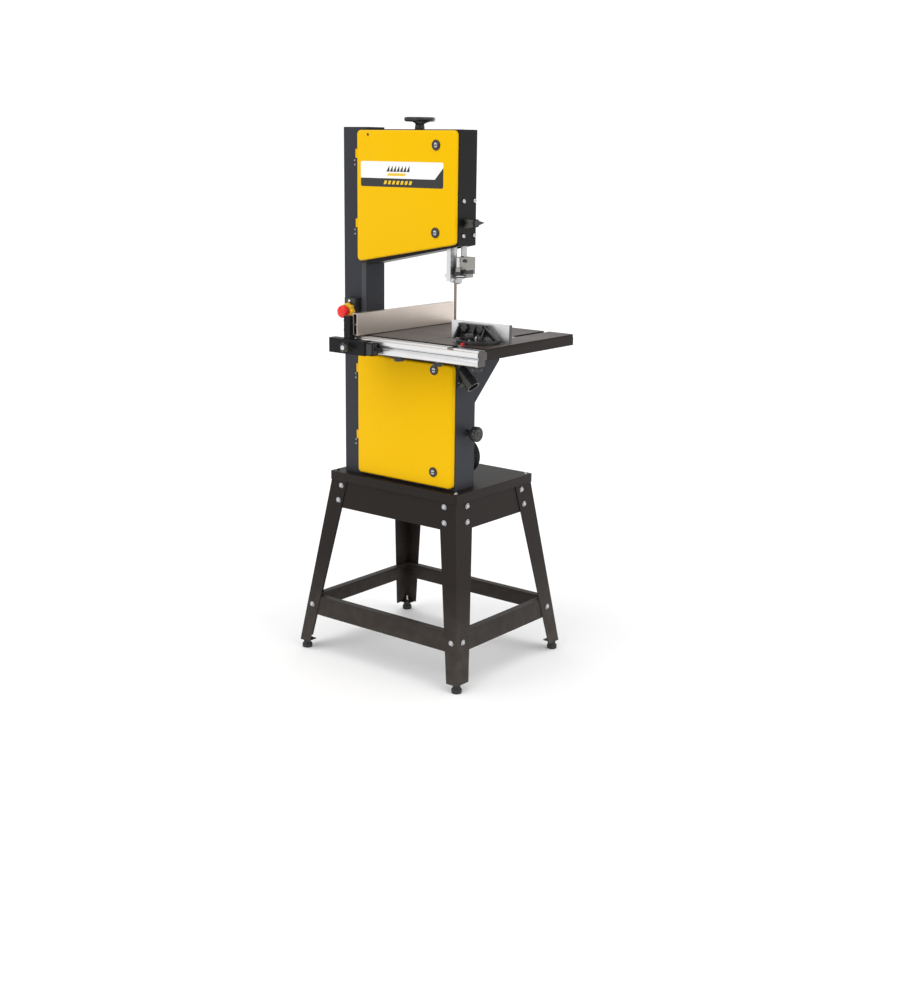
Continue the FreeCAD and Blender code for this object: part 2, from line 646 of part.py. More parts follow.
def upper_door():
    return door_shell("upper_door_left_low", "upper_door_right_low", "upper_door_top",
                      hinge_spots()[:2], UPPER_LOCKS)


def lower_door():
    return door_shell("lower_door_low", "lower_door_low", "lower_door_high", hinge_spots()[2:], LOWER_LOCKS)


def door_lock(height, upwards):
    """Quarter-turn lock: slotted head, spindle through the skin and a cam that points up or down."""
    front = "body_front - door_gap - door_depth"
    head = rod("y", "lock_x", f"{front} - 3", height, "lock_radius", "3 - fit_gap")
    slot = box(("lock_x - 1", "lock_x + 1"), (f"{front} - 4", f"{front} - 2"),
               (f"{height} - 6", f"{height} + 6"))
    spindle = rod("y", "lock_x", f"{front} - 2", height, "7", "door_depth + 6")
    reach = (f"{height} - 7", f"{height} + lock_reach") if upwards else \
            (f"{height} - lock_reach", f"{height} + 7")
    cam = box(("lock_x - 7", "lock_x + 7"),
              ("body_front + sheet_wall + fit_gap", "body_front + sheet_wall + 3"), reach)
    return join(cut(head, slot), spindle, cam)


# ---------------------------------------------------------------- wheels, tension and drive
def wheel_blank(height, windows=6):
    """A cast wheel with a crowned rim, a web with round windows and a bored hub."""
    near, far = "(wheel_width - web_thick) / 2", "(wheel_width + web_thick) / 2"
    rim_out = "wheel_radius - tyre_thick"
    rim_in = f"{rim_out} - rim_thick"
    profile = [("hub_bore", "0 - 3"), ("hub_radius", "0 - 3"), ("hub_radius", near),
               (rim_in, near), (rim_in, "0"), (rim_out, "0"), (rim_out, "wheel_width"),
               (rim_in, "wheel_width"), (rim_in, far), ("hub_radius", far),
               ("hub_radius", "wheel_width + 3"), ("hub_bore", "wheel_width + 3")]
    wheel = turned("y", "wheel_x", "wheel_front", height, profile)
    ring = "(hub_radius + wheel_radius - tyre_thick - rim_thick) / 2"
    holes = []
    for i in range(windows):
        across, up = polar(ring, 360 / windows * i)
        holes.append(rod("y", f"wheel_x + {across}", "wheel_front", f"{height} + {up}", "34", "wheel_width"))
    return cut(wheel, *holes)


def tyre(height):
    inner = "wheel_radius - tyre_thick"
    return turned("y", "wheel_x", "wheel_front", height, [
        (inner, "0.5"), ("wheel_radius - 0.4", "0.5"), ("wheel_radius", "6"),
        ("wheel_radius", "wheel_width - 6"), ("wheel_radius - 0.4", "wheel_width - 0.5"),
        (inner, "wheel_width - 0.5")])


def wheel_bearings(height):
    """Two ball bearings, drawn as plain rings, in the hub."""
    rings = []
    for start in ("0 - 2", "wheel_width - 9"):
        rings.append(turned("y", "wheel_x", "wheel_front", height, [
            ("spindle_radius + running_gap", start), ("hub_bore - 0.02", start),
            ("hub_bore - 0.02", f"{start} + 11"), ("spindle_radius + running_gap", f"{start} + 11")]))
    return group(*rings)


def lower_wheel():
    pulley = turned("y", "wheel_x", "wheel_front", "lower_wheel_z", [
        ("hub_radius - 4", "wheel_width + 2"), ("wheel_pulley_radius", "wheel_width + 2"),
        ("wheel_pulley_radius", "wheel_width + 13"), ("hub_radius - 4", "wheel_width + 13")])
    neck = turned("y", "wheel_x", "wheel_front", "lower_wheel_z", [
        ("hub_bore", "wheel_width"), ("hub_radius", "wheel_width"),
        ("hub_radius", "wheel_width + 13"), ("hub_bore", "wheel_width + 13")])
    return join(wheel_blank("lower_wheel_z"), pulley, neck)


def saw_blade():
    """The endless blade, a hair clear of both tyres."""
    inner = "wheel_radius + blade_gap"
    start = f"{BLADE_Y} - blade_width / 2"
    solids = []
    for radius, start_y, deep in ((f"{inner} + blade_thick", start, "blade_width"),
                                  (inner, f"{start} - 1", "blade_width + 2")):
        ends = [rod("y", "wheel_x", start_y, height, radius, deep)
                for height in ("upper_wheel_z", "lower_wheel_z")]
        middle = box((f"wheel_x - ({radius})", f"wheel_x + ({radius})"),
                     (start_y, f"{start_y} + {deep}"), ("lower_wheel_z", "upper_wheel_z"))
        solids.append(join(middle, *ends))
    return cut(*solids)


def tension_slide():
    """Plate that slides between the housing's strips and lifts the upper wheel."""
    plate = box(("wheel_x - 34", "wheel_x + 34"), ("0 - 79.9", f"{UPPER_BACK} - sheet_wall - fit_gap"),
                ("upper_wheel_z - 38", "upper_wheel_z + 38"))
    nut = box(("screw_x - 11", "screw_x + 11"), ("screw_y - 6.4", f"{UPPER_BACK} - sheet_wall - fit_gap"),
              ("upper_wheel_z + 38", "upper_wheel_z + 58"))
    thread = rod("z", "screw_x", "screw_y", "upper_wheel_z + 30", "screw_radius + running_gap", "40")
    stud = rod("y", "wheel_x", "0 - 81", "upper_wheel_z - 22", "bolt_radius + running_gap", "8")
    return cut(join(plate, nut), thread, stud)


def tilt_plate():
    """Hinged plate with the upper wheel's spindle, tipped by the tracking knob."""
    plate = box(("wheel_x - 30", "wheel_x + 30"), ("0 - 84", "0 - 80.6"),
                ("upper_wheel_z - 33", "upper_wheel_z + 33"))
    spindle = rod("-y", "wheel_x", "0 - 82", "upper_wheel_z", "spindle_radius", "0 - 82 - wheel_front + 5")
    return join(plate, spindle)


def lower_spindle():
    flange = rod("-y", "wheel_x", f"{LOWER_BACK} - sheet_wall", "lower_wheel_z", "32", "6")
    shaft = rod("-y", "wheel_x", f"{LOWER_BACK} - sheet_wall - 5", "lower_wheel_z", "spindle_radius",
                "body_front + lower_depth - sheet_wall - wheel_front")
    return join(flange, shaft)


def tension_screw():
    shaft = rod("z", "screw_x", "screw_y", "upper_wheel_z + 39", "screw_radius",
                "handwheel_top - upper_wheel_z - 39 - 12")
    collar = rod("z", "screw_x", "screw_y", "upper_top + 0.3", "11", "5")
    return join(shaft, collar)


def tension_handwheel():
    """Star-shaped rim on sloping spokes."""
    hub = turned("z", "screw_x", "screw_y", "upper_top + 5.3", [
        ("screw_radius", "0"), ("13.5", "0"), ("11", "11"), ("11", "22"), ("screw_radius", "22")])
    rim = turned("z", "screw_x", "screw_y", "handwheel_top", [
        ("handwheel_radius - 10", "0 - 3"), ("handwheel_radius - 10", "0 - 10"),
        ("handwheel_radius - 4", "0 - 12"), ("handwheel_radius - 2", "0 - 10"),
        ("handwheel_radius - 2", "0 - 2"), ("handwheel_radius - 5", "0")])
    spokes = [spoke("screw_x", "screw_y", "handwheel_top - 14", 72 * i + 18,
                    "handwheel_radius - 5", "8", "8") for i in range(5)]
    bore = rod("z", "screw_x", "screw_y", "upper_top", "screw_radius", "40")
    return cut(join(hub, rim, *spokes), bore)


def tracking_knob():
    shaft = rod("y", "wheel_x", "0 - 80", "upper_wheel_z - 22", "bolt_radius", "13.4")
    knob = fluted_knob("y", "wheel_x", f"{UPPER_BACK} + 3", "upper_wheel_z - 22", "16", "16", 6)
    return join(shaft, knob)


def motor_body():
    start = f"{LOWER_BACK} + 0.1"
    case = rod("y", "motor_x", start, "motor_z", "motor_radius", "motor_back - body_front - lower_depth - 24")
    fins = []
    for i in range(18):
        across, up = polar("motor_radius", 20 * i)
        fins.append(rod("y", f"motor_x + {across}", f"{start} + 10", f"motor_z + {up}", "1.8",
                        "motor_back - body_front - lower_depth - 38"))
    foot_box = box(("motor_x - 92", "motor_x - 40"), (start, f"{start} + 46"),
                   ("motor_z - 26", "motor_z + 30"))
    core = rod("y", "motor_x", start, "motor_z", "spindle_radius + running_gap", "12")
    cover = turned("y", "motor_x", "motor_back - 24", "motor_z", [
        ("0", "0 - 1"), ("motor_radius + 1", "0 - 1"), ("motor_radius + 1", "16"), ("motor_radius - 8", "24"),
        ("0", "24")])
    return cut(join(cut(case, *fins), foot_box, cover), core)


def motor_pulley():
    start = "wheel_front + wheel_width + 2"
    pulley = rod("y", "motor_x", start, "motor_z", "motor_pulley_radius", "11")
    shaft = rod("y", "motor_x", f"{start} + 1", "motor_z", "spindle_radius",
                f"{LOWER_BACK} + 8 - ({start})")
    return join(pulley, shaft)


def belt_loop(extra):
    """The outline of a belt round two pulleys, a distance outside both."""
    big = number(f"wheel_pulley_radius + fit_gap + {extra}")
    small = number(f"motor_pulley_radius + fit_gap + {extra}")
    start = FreeCAD.Vector(number("wheel_x - centre_x"), 0, number("lower_wheel_z"))
    end = FreeCAD.Vector(number("motor_x - centre_x"), 0, number("motor_z"))
    line = (end - start).normalize()
    side = FreeCAD.Vector(-line.z, 0, line.x)
    lean = (big - small) / (end - start).Length
    rise = (1 - lean * lean) ** 0.5
    touch = [line * lean + side * (rise * way) for way in (1, -1)]
    arcs = [Part.Arc(start + touch[0] * big, start - line * big, start + touch[1] * big).toShape(),
            Part.makeLine(start + touch[1] * big, end + touch[1] * small),
            Part.Arc(end + touch[1] * small, end + line * small, end + touch[0] * small).toShape(),
            Part.makeLine(end + touch[0] * small, start + touch[0] * big)]
    return Part.Face(Part.Wire(arcs))


def drive_belt():
    """Flat ribbed belt; its tangent lines follow from both pulleys, so it is shaped in code."""
    start = number("wheel_front + wheel_width + 3")
    deep = FreeCAD.Vector(0, number("belt_width"), 0)
    ring = belt_loop("belt_thick").extrude(deep).cut(belt_loop("0").extrude(deep))
    belt = doc.addObject("Part::Feature", "belt")
    belt.Shape = ring
    belt.Placement = FreeCAD.Placement(FreeCAD.Vector(0, start - number("centre_y"), 0), FreeCAD.Rotation())
    return belt


def belt_knob():
    knob = fluted_knob("x", "body_half + 22", "belt_knob_y", "belt_knob_z", "belt_knob_radius", "22", 8)
    neck = cone("x", "body_half + 1", "belt_knob_y", "belt_knob_z", "10", "8", "21")
    shaft = rod("-x", "body_half + 2", "belt_knob_y", "belt_knob_z", "bolt_radius", "24")
    return join(knob, neck, shaft)


# ---------------------------------------------------------------- blade guides
ROLLER_X = f"({BLADE_X} + {{side}} * (blade_thick / 2 + fit_gap + roller_radius))"
ROLLER_Y = f"({BLADE_Y} - 2)"


def holder_bolt_spots():
    return [("0 - 128", "1353"), ("0 - 80", "1353"), ("0 - 128", "1261"), ("0 - 80", "1261")]


def guide_post_holder():
    block = box(("post_x - 16", "body_half - sheet_wall"), ("0 - 138", f"{UPPER_BACK} - sheet_wall"),
                ("holder_low", "holder_high"))
    bore = rod("z", "post_x", "post_y", "holder_low - 1", "post_radius + running_gap",
               "holder_high - holder_low + 2")
    screw = rod("-x", "body_half", "post_y", "guide_knob_z", "bolt_radius + running_gap",
                "body_half - post_x")
    holes = [rod("-x", "body_half", *spot, "bolt_radius + bolt_play", "22") for spot in holder_bolt_spots()]
    return cut(block, bore, screw, *holes)


def guide_knob():
    """Lever-like wing knob that clamps the guide post through the right panel."""
    shaft = rod("-x", "body_half + 4", "post_y", "guide_knob_z", "bolt_radius",
                "body_half + 4 - post_x - post_radius - 0.4")
    hub = rod("x", "body_half + 2", "post_y", "guide_knob_z", "11", "24")
    wing = padded("YZ_Plane", "body_half + 12", "body_half + 22", [
        ("post_y - 40", "guide_knob_z + 12"), ("post_y - 34", "guide_knob_z"),
        ("post_y - 40", "guide_knob_z - 12"), ("post_y", "guide_knob_z - 9"),
        ("post_y + 40", "guide_knob_z"), ("post_y", "guide_knob_z + 9")])
    return join(shaft, hub, wing)


def guide_post():
    return rod("z", "post_x", "post_y", "post_low - 30", "post_radius", "post_high - post_low + 30")


def guide_block():
    """Clamp on the post, with the arm and plate that carry the rollers."""
    clamp = box(("176", "212"), ("0 - 114", "0 - 78"), ("1157", "1203"))
    bore = rod("z", "post_x", "post_y", "1150", "post_radius + running_gap", "60")
    plate = box((ROLLER_X.format(side=-1) + " - roller_radius", "204"), ("0 - 104.6", "0 - 76"),
                ("1147", "1157.5"))
    slit = box((f"{BLADE_X} - 2", f"{BLADE_X} + 2"), ("0 - 110", "0 - 92"), ("1140", "1160"))
    back = box(("154", "178"), ("0 - 84", "0 - 77"), ("1157", "1186"))
    screw = rod("-y", "186", "0 - 113", "1168", "8", "9")
    return join(cut(join(clamp, plate, back), bore, slit), screw)


def guide_bearings():
    """Side rollers either side of the blade and a thrust roller behind it."""
    rollers = []
    for side in (-1, 1):
        x = ROLLER_X.format(side=side)
        rollers.append(join(rod("z", x, ROLLER_Y, "1133", "roller_radius", "10"),
                            rod("z", x, ROLLER_Y, "1131", "3.5", "15.9")))
    thrust = rod("x", f"{BLADE_X} - 5", f"{BLADE_Y} + blade_width / 2 + fit_gap + 10", "1136", "10", "8")
    pin = box((f"{BLADE_X} - 4", f"{BLADE_X} + 2"), ("0 - 88", "0 - 80"), ("1138", "1146.9"))
    rollers.append(join(thrust, pin))
    return group(*rollers)


def blade_guard():
    """Folded channel over the blade's front edge and free side."""
    face = box(("154", "168"), ("0 - 132", "0 - 130.8"), ("guard_low", "guard_high"))
    free_side = box(("166.8", "168"), ("0 - 132", "0 - 104.8"), ("guard_low", "guard_high"))
    wheel_side = box(("154", "155.2"), ("0 - 132", "0 - 114"), ("guard_low", "guard_high"))
    rooms = [rod("z", ROLLER_X.format(side=side), ROLLER_Y, "guard_low - 1", "roller_radius + fit_gap",
                 "1149 - guard_low") for side in (-1, 1)]
    return cut(join(face, free_side, wheel_side), *rooms)


def lower_guide():
    """Two guide blocks on a foot, either side of the blade under the table."""
    sides = [box((f"{BLADE_X} + 0.7", f"{BLADE_X} + 12"), (f"{BLADE_Y} - 9", f"{BLADE_Y} + 9"),
                 ("lower_top + 6", "lower_top + 20")),
             box((f"{BLADE_X} - 14", f"{BLADE_X} - 0.7"), (f"{BLADE_Y} - 9", f"{BLADE_Y} + 9"),
                 ("lower_top + 6", "lower_top + 28"))]
    rear = box((f"{BLADE_X} - 14", f"{BLADE_X} + 12"), (f"{BLADE_Y} + 8.9", f"{BLADE_Y} + 24"),
               ("lower_top + 6", "lower_top + 16"))
    return join(rear, *sides)


# ---------------------------------------------------------------- table
TABLE_UNDER = "table_top - table_plate"


def trunnion_base():
    """Fixed casting with two cradles, on the lower housing and the support."""
    foot = box(("100", f"{BLADE_X} + 38"), ("front_trunnion", "rear_trunnion + trunnion_thick + 6"),
               ("lower_top", "lower_top + 6"))
    window = box((f"{BLADE_X} - 10", f"{BLADE_X} + 10"), (f"{BLADE_Y} - 14", f"{BLADE_Y} + 14"),
                 ("lower_top - 1", "lower_top + 7"))
    cradles = []
    seat_radius = "trunnion_radius + fit_gap"
    for start in ("front_trunnion", "rear_trunnion"):
        block = box(("100", f"{BLADE_X} + 23"), (start, f"{start} + trunnion_thick"),
                    ("lower_top + 5", "lower_top + 31"))
        seat = rod("y", BLADE_X, f"{start} - 1", "table_top", seat_radius, "trunnion_thick + 2")
        cradles.append(cut(block, seat))
    lock_hole = rod("y", "108", "rear_trunnion + trunnion_thick - 12", "lower_top + 18",
                    "bolt_radius + running_gap", "14")
    return cut(join(cut(foot, window), *cradles), lock_hole)


def table_trunnion():
    """Two half discs under the table that turn in the cradles."""
    discs = []
    for start in ("front_trunnion", "rear_trunnion"):
        disc = rod("y", BLADE_X, start, "table_top", "trunnion_radius", "trunnion_thick")
        below = box((f"{BLADE_X} - 60", f"{BLADE_X} + 60"), (start, f"{start} + trunnion_thick"),
                    ("table_top - 60", TABLE_UNDER))
        discs.append(common(disc, below))
    return group(*discs)


def tilt_lock():
    start = "rear_trunnion + trunnion_thick"
    shaft = rod("y", "108", f"{start} - 11", "lower_top + 18", "bolt_radius", "20")
    knob = fluted_knob("y", "108", f"{start} + 8", "lower_top + 18", "16", "16", 6)
    return join(shaft, knob)


def table():
    slab = padded("XY_Plane", TABLE_UNDER, "table_top", rectangle(
        ("table_left", "table_right"), ("table_front", "table_back")))
    rounded(slab, along("z", "table_plate"), "3")
    skirt = box(("table_left", "table_right"), ("table_front", "table_back"),
                ("table_top - table_rib", f"{TABLE_UNDER} + 1"))
    hollow = box(("table_left + rib_wide", "table_right - rib_wide"),
                 ("table_front + rib_wide", "table_back - rib_wide"),
                 ("table_top - table_rib - 1", TABLE_UNDER))
    slot = box(("slot_x - slot_wide / 2", "slot_x + slot_wide / 2"), ("table_front - 1", "table_back + 1"),
               ("table_top - slot_deep", "table_top + 1"))
    pocket = rod("z", BLADE_X, BLADE_Y, "table_top - insert_thick", "insert_radius + fit_gap",
                 "insert_thick + 1")
    well = rod("z", BLADE_X, BLADE_Y, f"{TABLE_UNDER} - 1", "insert_radius - 4", "table_plate")
    kerf = box((f"{BLADE_X} - 1.2", f"{BLADE_X} + 1.2"), ("table_front - 1", BLADE_Y),
               ("table_top - table_rib - 1", "table_top + 1"))
    return cut(join(slab, cut(skirt, hollow)), slot, pocket, well, kerf)


def table_insert():
    disc = rod("z", BLADE_X, BLADE_Y, "table_top - insert_thick + 0.1", "insert_radius",
               "insert_thick - 0.1")
    slit = box((f"{BLADE_X} - 1.5", f"{BLADE_X} + insert_thick + 1.2"),
               (f"{BLADE_Y} - 40", f"{BLADE_Y} + blade_width / 2 + 6"),
               ("table_top - 6", "table_top + 1"))
    return cut(disc, slit)


def fence_rail():
    """Extruded rail along the table's front edge, with a T-shaped groove and two hollows."""
    section = [("rail_back", "rail_low"), ("rail_front + 2", "rail_low"), ("rail_front", "rail_low + 2"),
               ("rail_front", "rail_low + 16"), ("rail_front + 4", "rail_low + 19"),
               ("rail_front + 4", "rail_low + 23"), ("rail_front", "rail_low + 25"),
               ("rail_front", "rail_low + 36"), ("rail_front + 4", "rail_low + 38"),
               ("rail_front + 4", "rail_high"), ("rail_back", "rail_high"),
               ("rail_back", "rail_high - 6"), ("table_front", "rail_high - 6"),
               ("table_front", "rail_low + 16"), ("rail_back", "rail_low + 16")]
    hollows = [rectangle(("rail_front + 8", "rail_back - 5"), (low, high))
               for low, high in (("rail_low + 4", "rail_low + 14"), ("rail_high - 17", "rail_high - 8"))]
    rail = padded("YZ_Plane", "rail_left", "rail_right", section, *hollows)
    slot_way = box(("slot_x - slot_wide / 2 - 1", "slot_x + slot_wide / 2 + 1"),
                   ("rail_front - 1", "table_front + 1"), ("table_top - slot_deep - 0.5", "rail_high + 1"))
    return cut(rail, slot_way)


def rail_knobs():
    knobs = []
    middle = "(rail_front + rail_back) / 2"
    for x in ("97", "233", "364"):
        stem = rod("-z", x, middle, "rail_low", "5", "5")
        knobs.append(join(stem, fluted_knob("-z", x, middle, "rail_low - 3", "14.5", "11", 8)))
    return group(*knobs)


# ---------------------------------------------------------------- fence
def fence_profile():
    left = "fence_right - fence_wide"
    outside = rectangle((left, "fence_right"), ("fence_low", "fence_high"))
    middle = "(fence_low + fence_high) / 2"
    inside_x = (f"{left} + fence_wall", "fence_right - fence_wall")
    hollows = [rectangle(inside_x, ("fence_low + fence_wall", f"{middle} - 1")),
               rectangle(inside_x, (f"{middle} + 1", "fence_high - fence_wall"))]
    return padded("XZ_Plane", "fence_front", "fence_back", outside, *hollows)


HEAD_BACK = "(rail_front - fit_gap)"


def fence_head():
    left = "fence_right - fence_wide"
    bar = box(("head_left", "head_right"), ("head_front", HEAD_BACK), ("head_low", "head_high"))
    upright = box((f"{left} - 22", left), ("head_front + 6", HEAD_BACK), ("head_high - 1", "fence_high - 8"))
    cheek = box((f"{left} - 5", left), (f"{HEAD_BACK} - 1", "fence_front + 85"), ("fence_low", "fence_high - 8"))
    bore = rod("y", "fence_knob_x", "head_front - 1", "(head_low + head_high) / 2",
               "5 + running_gap", "22")
    block = box(("head_right", "head_right + 27"), ("head_front + 3", f"{HEAD_BACK} - 1"),
                ("head_low + 2", "head_high - 3"))
    stop_rod = rod("x", "head_right + 26", f"(head_front + {HEAD_BACK}) / 2",
                   "(head_low + head_high) / 2", "5", "26")
    return join(cut(join(bar, upright, cheek), bore), block, stop_rod)


def fence_knob():
    middle = "(head_low + head_high) / 2"
    shaft = rod("y", "fence_knob_x", "head_front - 4", middle, "5", "20")
    knob = fluted_knob("-y", "fence_knob_x", "head_front - 3", middle, "14", "22", 6)
    return join(shaft, knob)


# ---------------------------------------------------------------- mitre gauge
def mitre_bar():
    bar = box(("slot_x - slot_wide / 2 + 0.2", "slot_x + slot_wide / 2 - 0.2"),
              ("mitre_bar_front", "mitre_bar_back"), ("table_top - slot_deep + 0.2", "table_top - 0.1"))
    pivot = rod("z", "slot_x", "mitre_y", "table_top - 2", "5", "12")
    return join(bar, pivot)


def mitre_head():
    """Half-round protractor base with the upright web that carries the plate."""
    low, high = "table_top + 0.6", "table_top + 9"
    disc = rod("z", "slot_x", "mitre_y", low, "62", "8.4")
    front = box(("slot_x - 70", "slot_x + 70"), ("mitre_y - 70", "mitre_plate_y"), (low, high))
    web = padded("XZ_Plane", "mitre_plate_y - 12", "mitre_plate_y", [
        ("slot_x - 78", low), ("slot_x + 60", low), ("slot_x + 20", "mitre_plate_high - 5"),
        ("slot_x - 78", "mitre_plate_high - 5")])
    pivot_hole = rod("z", "slot_x", "mitre_y", "table_top - 1", "5 + running_gap", "14")
    swing, start = 124, 208
    ring = cut(sector("slot_x", "mitre_y", "table_top - 1", "mitre_slot + 4.6", "12", start, swing),
               rod("z", "slot_x", "mitre_y", "table_top - 2", "mitre_slot - 4.6", "14"))
    ends = []
    for angle in (start, start + swing):
        across, deep = polar("mitre_slot", angle)
        ends.append(rod("z", f"slot_x + {across}", f"mitre_y + {deep}", "table_top - 1", "4.6", "12"))
    return cut(join(common(disc, front), web), pivot_hole, ring, *ends)


def mitre_plate():
    return box(("mitre_plate_left", "mitre_plate_right"), ("mitre_plate_y", "mitre_plate_y + 8"),
               ("table_top + 1.5", "mitre_plate_high"))


def mitre_knob():
    x, y = "slot_x", "mitre_y - mitre_slot"
    shaft = rod("z", x, y, "table_top + 0.3", "4", "18")
    knob = fluted_knob("z", x, y, "table_top + 12", "13", "16", 6)
    return join(shaft, knob)


def stop_button():
    front = "body_front - switch_depth"
    stem = rod("-y", "switch_x", f"{front} - stop_travel - 1", "switch_z", "stop_stem", "20")
    cap = turned("-y", "switch_x", f"{front} - 24", "switch_z", [
        ("0", "0"), ("stop_radius - 3", "0"), ("stop_radius", "3"), ("stop_radius", "9"),
        ("stop_radius - 4", "13"), ("0", "15")])
    return join(stem, cap)


# ---------------------------------------------------------------- build, check and write
PIECES = {
    "stand_legs": stand_legs, "stand_aprons": stand_aprons, "stand_braces": stand_braces,
    "stand_top_plate": stand_top_plate, "levelling_feet": levelling_feet, "stand_bolts": stand_bolts,
    "body_bolts": body_bolts, "column": column, "upper_housing": upper_housing,
    "lower_housing": lower_housing, "table_support": table_support,
    "hinge_frame_leaves": hinge_frame_leaves, "switch_box": switch_box, "switch_collar": switch_collar,
    "dust_chute": dust_chute, "upper_door": upper_door, "lower_door": lower_door,
    "upper_door_lock_top": lambda: door_lock(UPPER_LOCKS[0], False),
    "upper_door_lock_bottom": lambda: door_lock(UPPER_LOCKS[1], True),
    "lower_door_lock_top": lambda: door_lock(LOWER_LOCKS[0], False),
    "lower_door_lock_bottom": lambda: door_lock(LOWER_LOCKS[1], True),
    "upper_wheel": lambda: wheel_blank("upper_wheel_z"), "upper_tyre": lambda: tyre("upper_wheel_z"),
    "upper_bearings": lambda: wheel_bearings("upper_wheel_z"),
    "lower_wheel": lower_wheel, "lower_tyre": lambda: tyre("lower_wheel_z"),
    "lower_bearings": lambda: wheel_bearings("lower_wheel_z"), "lower_spindle": lower_spindle,
    "saw_blade": saw_blade, "tension_slide": tension_slide, "tilt_plate": tilt_plate,
    "tension_screw": tension_screw, "tension_handwheel": tension_handwheel,
    "tracking_knob": tracking_knob, "motor_body": motor_body,
    "motor_pulley": motor_pulley, "drive_belt": drive_belt, "belt_knob": belt_knob,
    "guide_post_holder": guide_post_holder, "guide_knob": guide_knob, "guide_post": guide_post,
    "guide_block": guide_block, "guide_bearings": guide_bearings, "blade_guard": blade_guard,
    "lower_guide": lower_guide, "trunnion_base": trunnion_base, "table_trunnion": table_trunnion,
    "tilt_lock": tilt_lock, "table": table, "table_insert": table_insert, "fence_rail": fence_rail,
    "rail_knobs": rail_knobs, "fence_profile": fence_profile, "fence_head": fence_head,
    "fence_knob": fence_knob, "mitre_bar": mitre_bar, "mitre_head": mitre_head,
    "mitre_plate": mitre_plate, "mitre_knob": mitre_knob, "stop_button": stop_button,
}
for name, make in PIECES.items():
    sub_part(name, make())
doc.recompute()

for thing in doc.Objects:
    if {"Invalid", "Error"} & set(thing.State):
        raise RuntimeError(f"{thing.Label} ({thing.Name}) did not rebuild: {thing.State}")
os.makedirs("parts", exist_ok=True)
for thing in finished:
    shape = thing.Shape
    if shape.isNull() or not shape.isValid() or not shape.Solids:
        raise RuntimeError(f"{thing.Label} has no valid solid")
    shape.exportStep(f"parts/{thing.Label}.step")
everything = Part.makeCompound([thing.Shape for thing in finished])
print(len(finished), "sub-parts", everything.BoundBox)
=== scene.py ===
"""Looks for a floor-standing band saw: every finish and visible detail round its fixed frame.

Laid out as an add-on.  Lengths are in metres, in the frame's own axes: +X to the operator's
right, +Y away from the operator, +Z up.
"""
import json
import math

import bmesh
import bpy
from bpy.props import FloatProperty, FloatVectorProperty, IntProperty, PointerProperty
from mathutils import Matrix, Vector


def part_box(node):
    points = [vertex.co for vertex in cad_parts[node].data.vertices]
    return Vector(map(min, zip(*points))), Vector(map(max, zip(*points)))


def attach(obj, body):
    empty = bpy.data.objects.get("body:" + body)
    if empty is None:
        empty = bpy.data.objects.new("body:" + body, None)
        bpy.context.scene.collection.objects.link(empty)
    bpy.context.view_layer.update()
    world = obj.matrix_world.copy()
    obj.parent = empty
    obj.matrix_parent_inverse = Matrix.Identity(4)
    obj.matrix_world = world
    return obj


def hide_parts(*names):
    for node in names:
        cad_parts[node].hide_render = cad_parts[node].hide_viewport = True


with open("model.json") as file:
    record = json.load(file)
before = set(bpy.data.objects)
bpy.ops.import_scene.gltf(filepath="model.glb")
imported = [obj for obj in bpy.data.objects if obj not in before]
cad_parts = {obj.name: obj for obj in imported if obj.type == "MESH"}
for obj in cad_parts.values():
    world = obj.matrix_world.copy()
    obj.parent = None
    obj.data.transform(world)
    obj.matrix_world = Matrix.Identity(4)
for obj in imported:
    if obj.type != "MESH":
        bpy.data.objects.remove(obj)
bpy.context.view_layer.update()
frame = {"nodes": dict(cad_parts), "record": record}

bl_info = {
    "name": "Band Saw Finishes",
    "version": (1, 0, 0),
    "blender": (4, 5, 0),
    "location": "View3D > Sidebar > Band Saw",
    "description": "Builds the visible pieces and finishes of a band saw round its frame",
    "category": "Object",
}

MM = 0.001
FINE = 1e-6          # vertices nearer than this are one vertex


# ---------------------------------------------------------------- settings
def colour(name, description, default):
    return FloatVectorProperty(name=name, description=description, default=default,
                               subtype="COLOR", size=3, min=0.0, max=1.0)


def length(name, description, default):
    return FloatProperty(name=name, description=description, default=default,
                         unit="LENGTH", min=0.0, precision=5)


class FinishSettings(bpy.types.PropertyGroup):
    """Colours of the paints, plastics and metals."""
    door_yellow: colour("Door yellow", "Semi-gloss paint of both doors", (0.830, 0.482, 0.0006))
    frame_grey: colour("Frame grey", "Charcoal paint of the column and lower housing",
                       (0.032, 0.034, 0.042))
    panel_black: colour("Panel black", "Paint of the upper housing and brackets",
                        (0.0065, 0.0065, 0.0070))
    stand_brown: colour("Stand black", "Brown-black paint of the stand", (0.0130, 0.0088, 0.0072))
    ground_iron: colour("Ground iron", "Machined top of the table", (0.068, 0.051, 0.045))
    aluminium: colour("Aluminium", "Rail, fence and face plate", (0.86, 0.86, 0.87))
    zinc: colour("Zinc", "Bolts, screws and washers", (0.58, 0.58, 0.60))
    plastic_black: colour("Black plastic", "Knobs and the dust outlet", (0.010, 0.010, 0.011))
    collar_yellow: colour("Collar yellow", "Guard ring of the switch", (0.82, 0.45, 0.004))
    stop_red: colour("Stop red", "Mushroom stop button", (0.80, 0.010, 0.010))


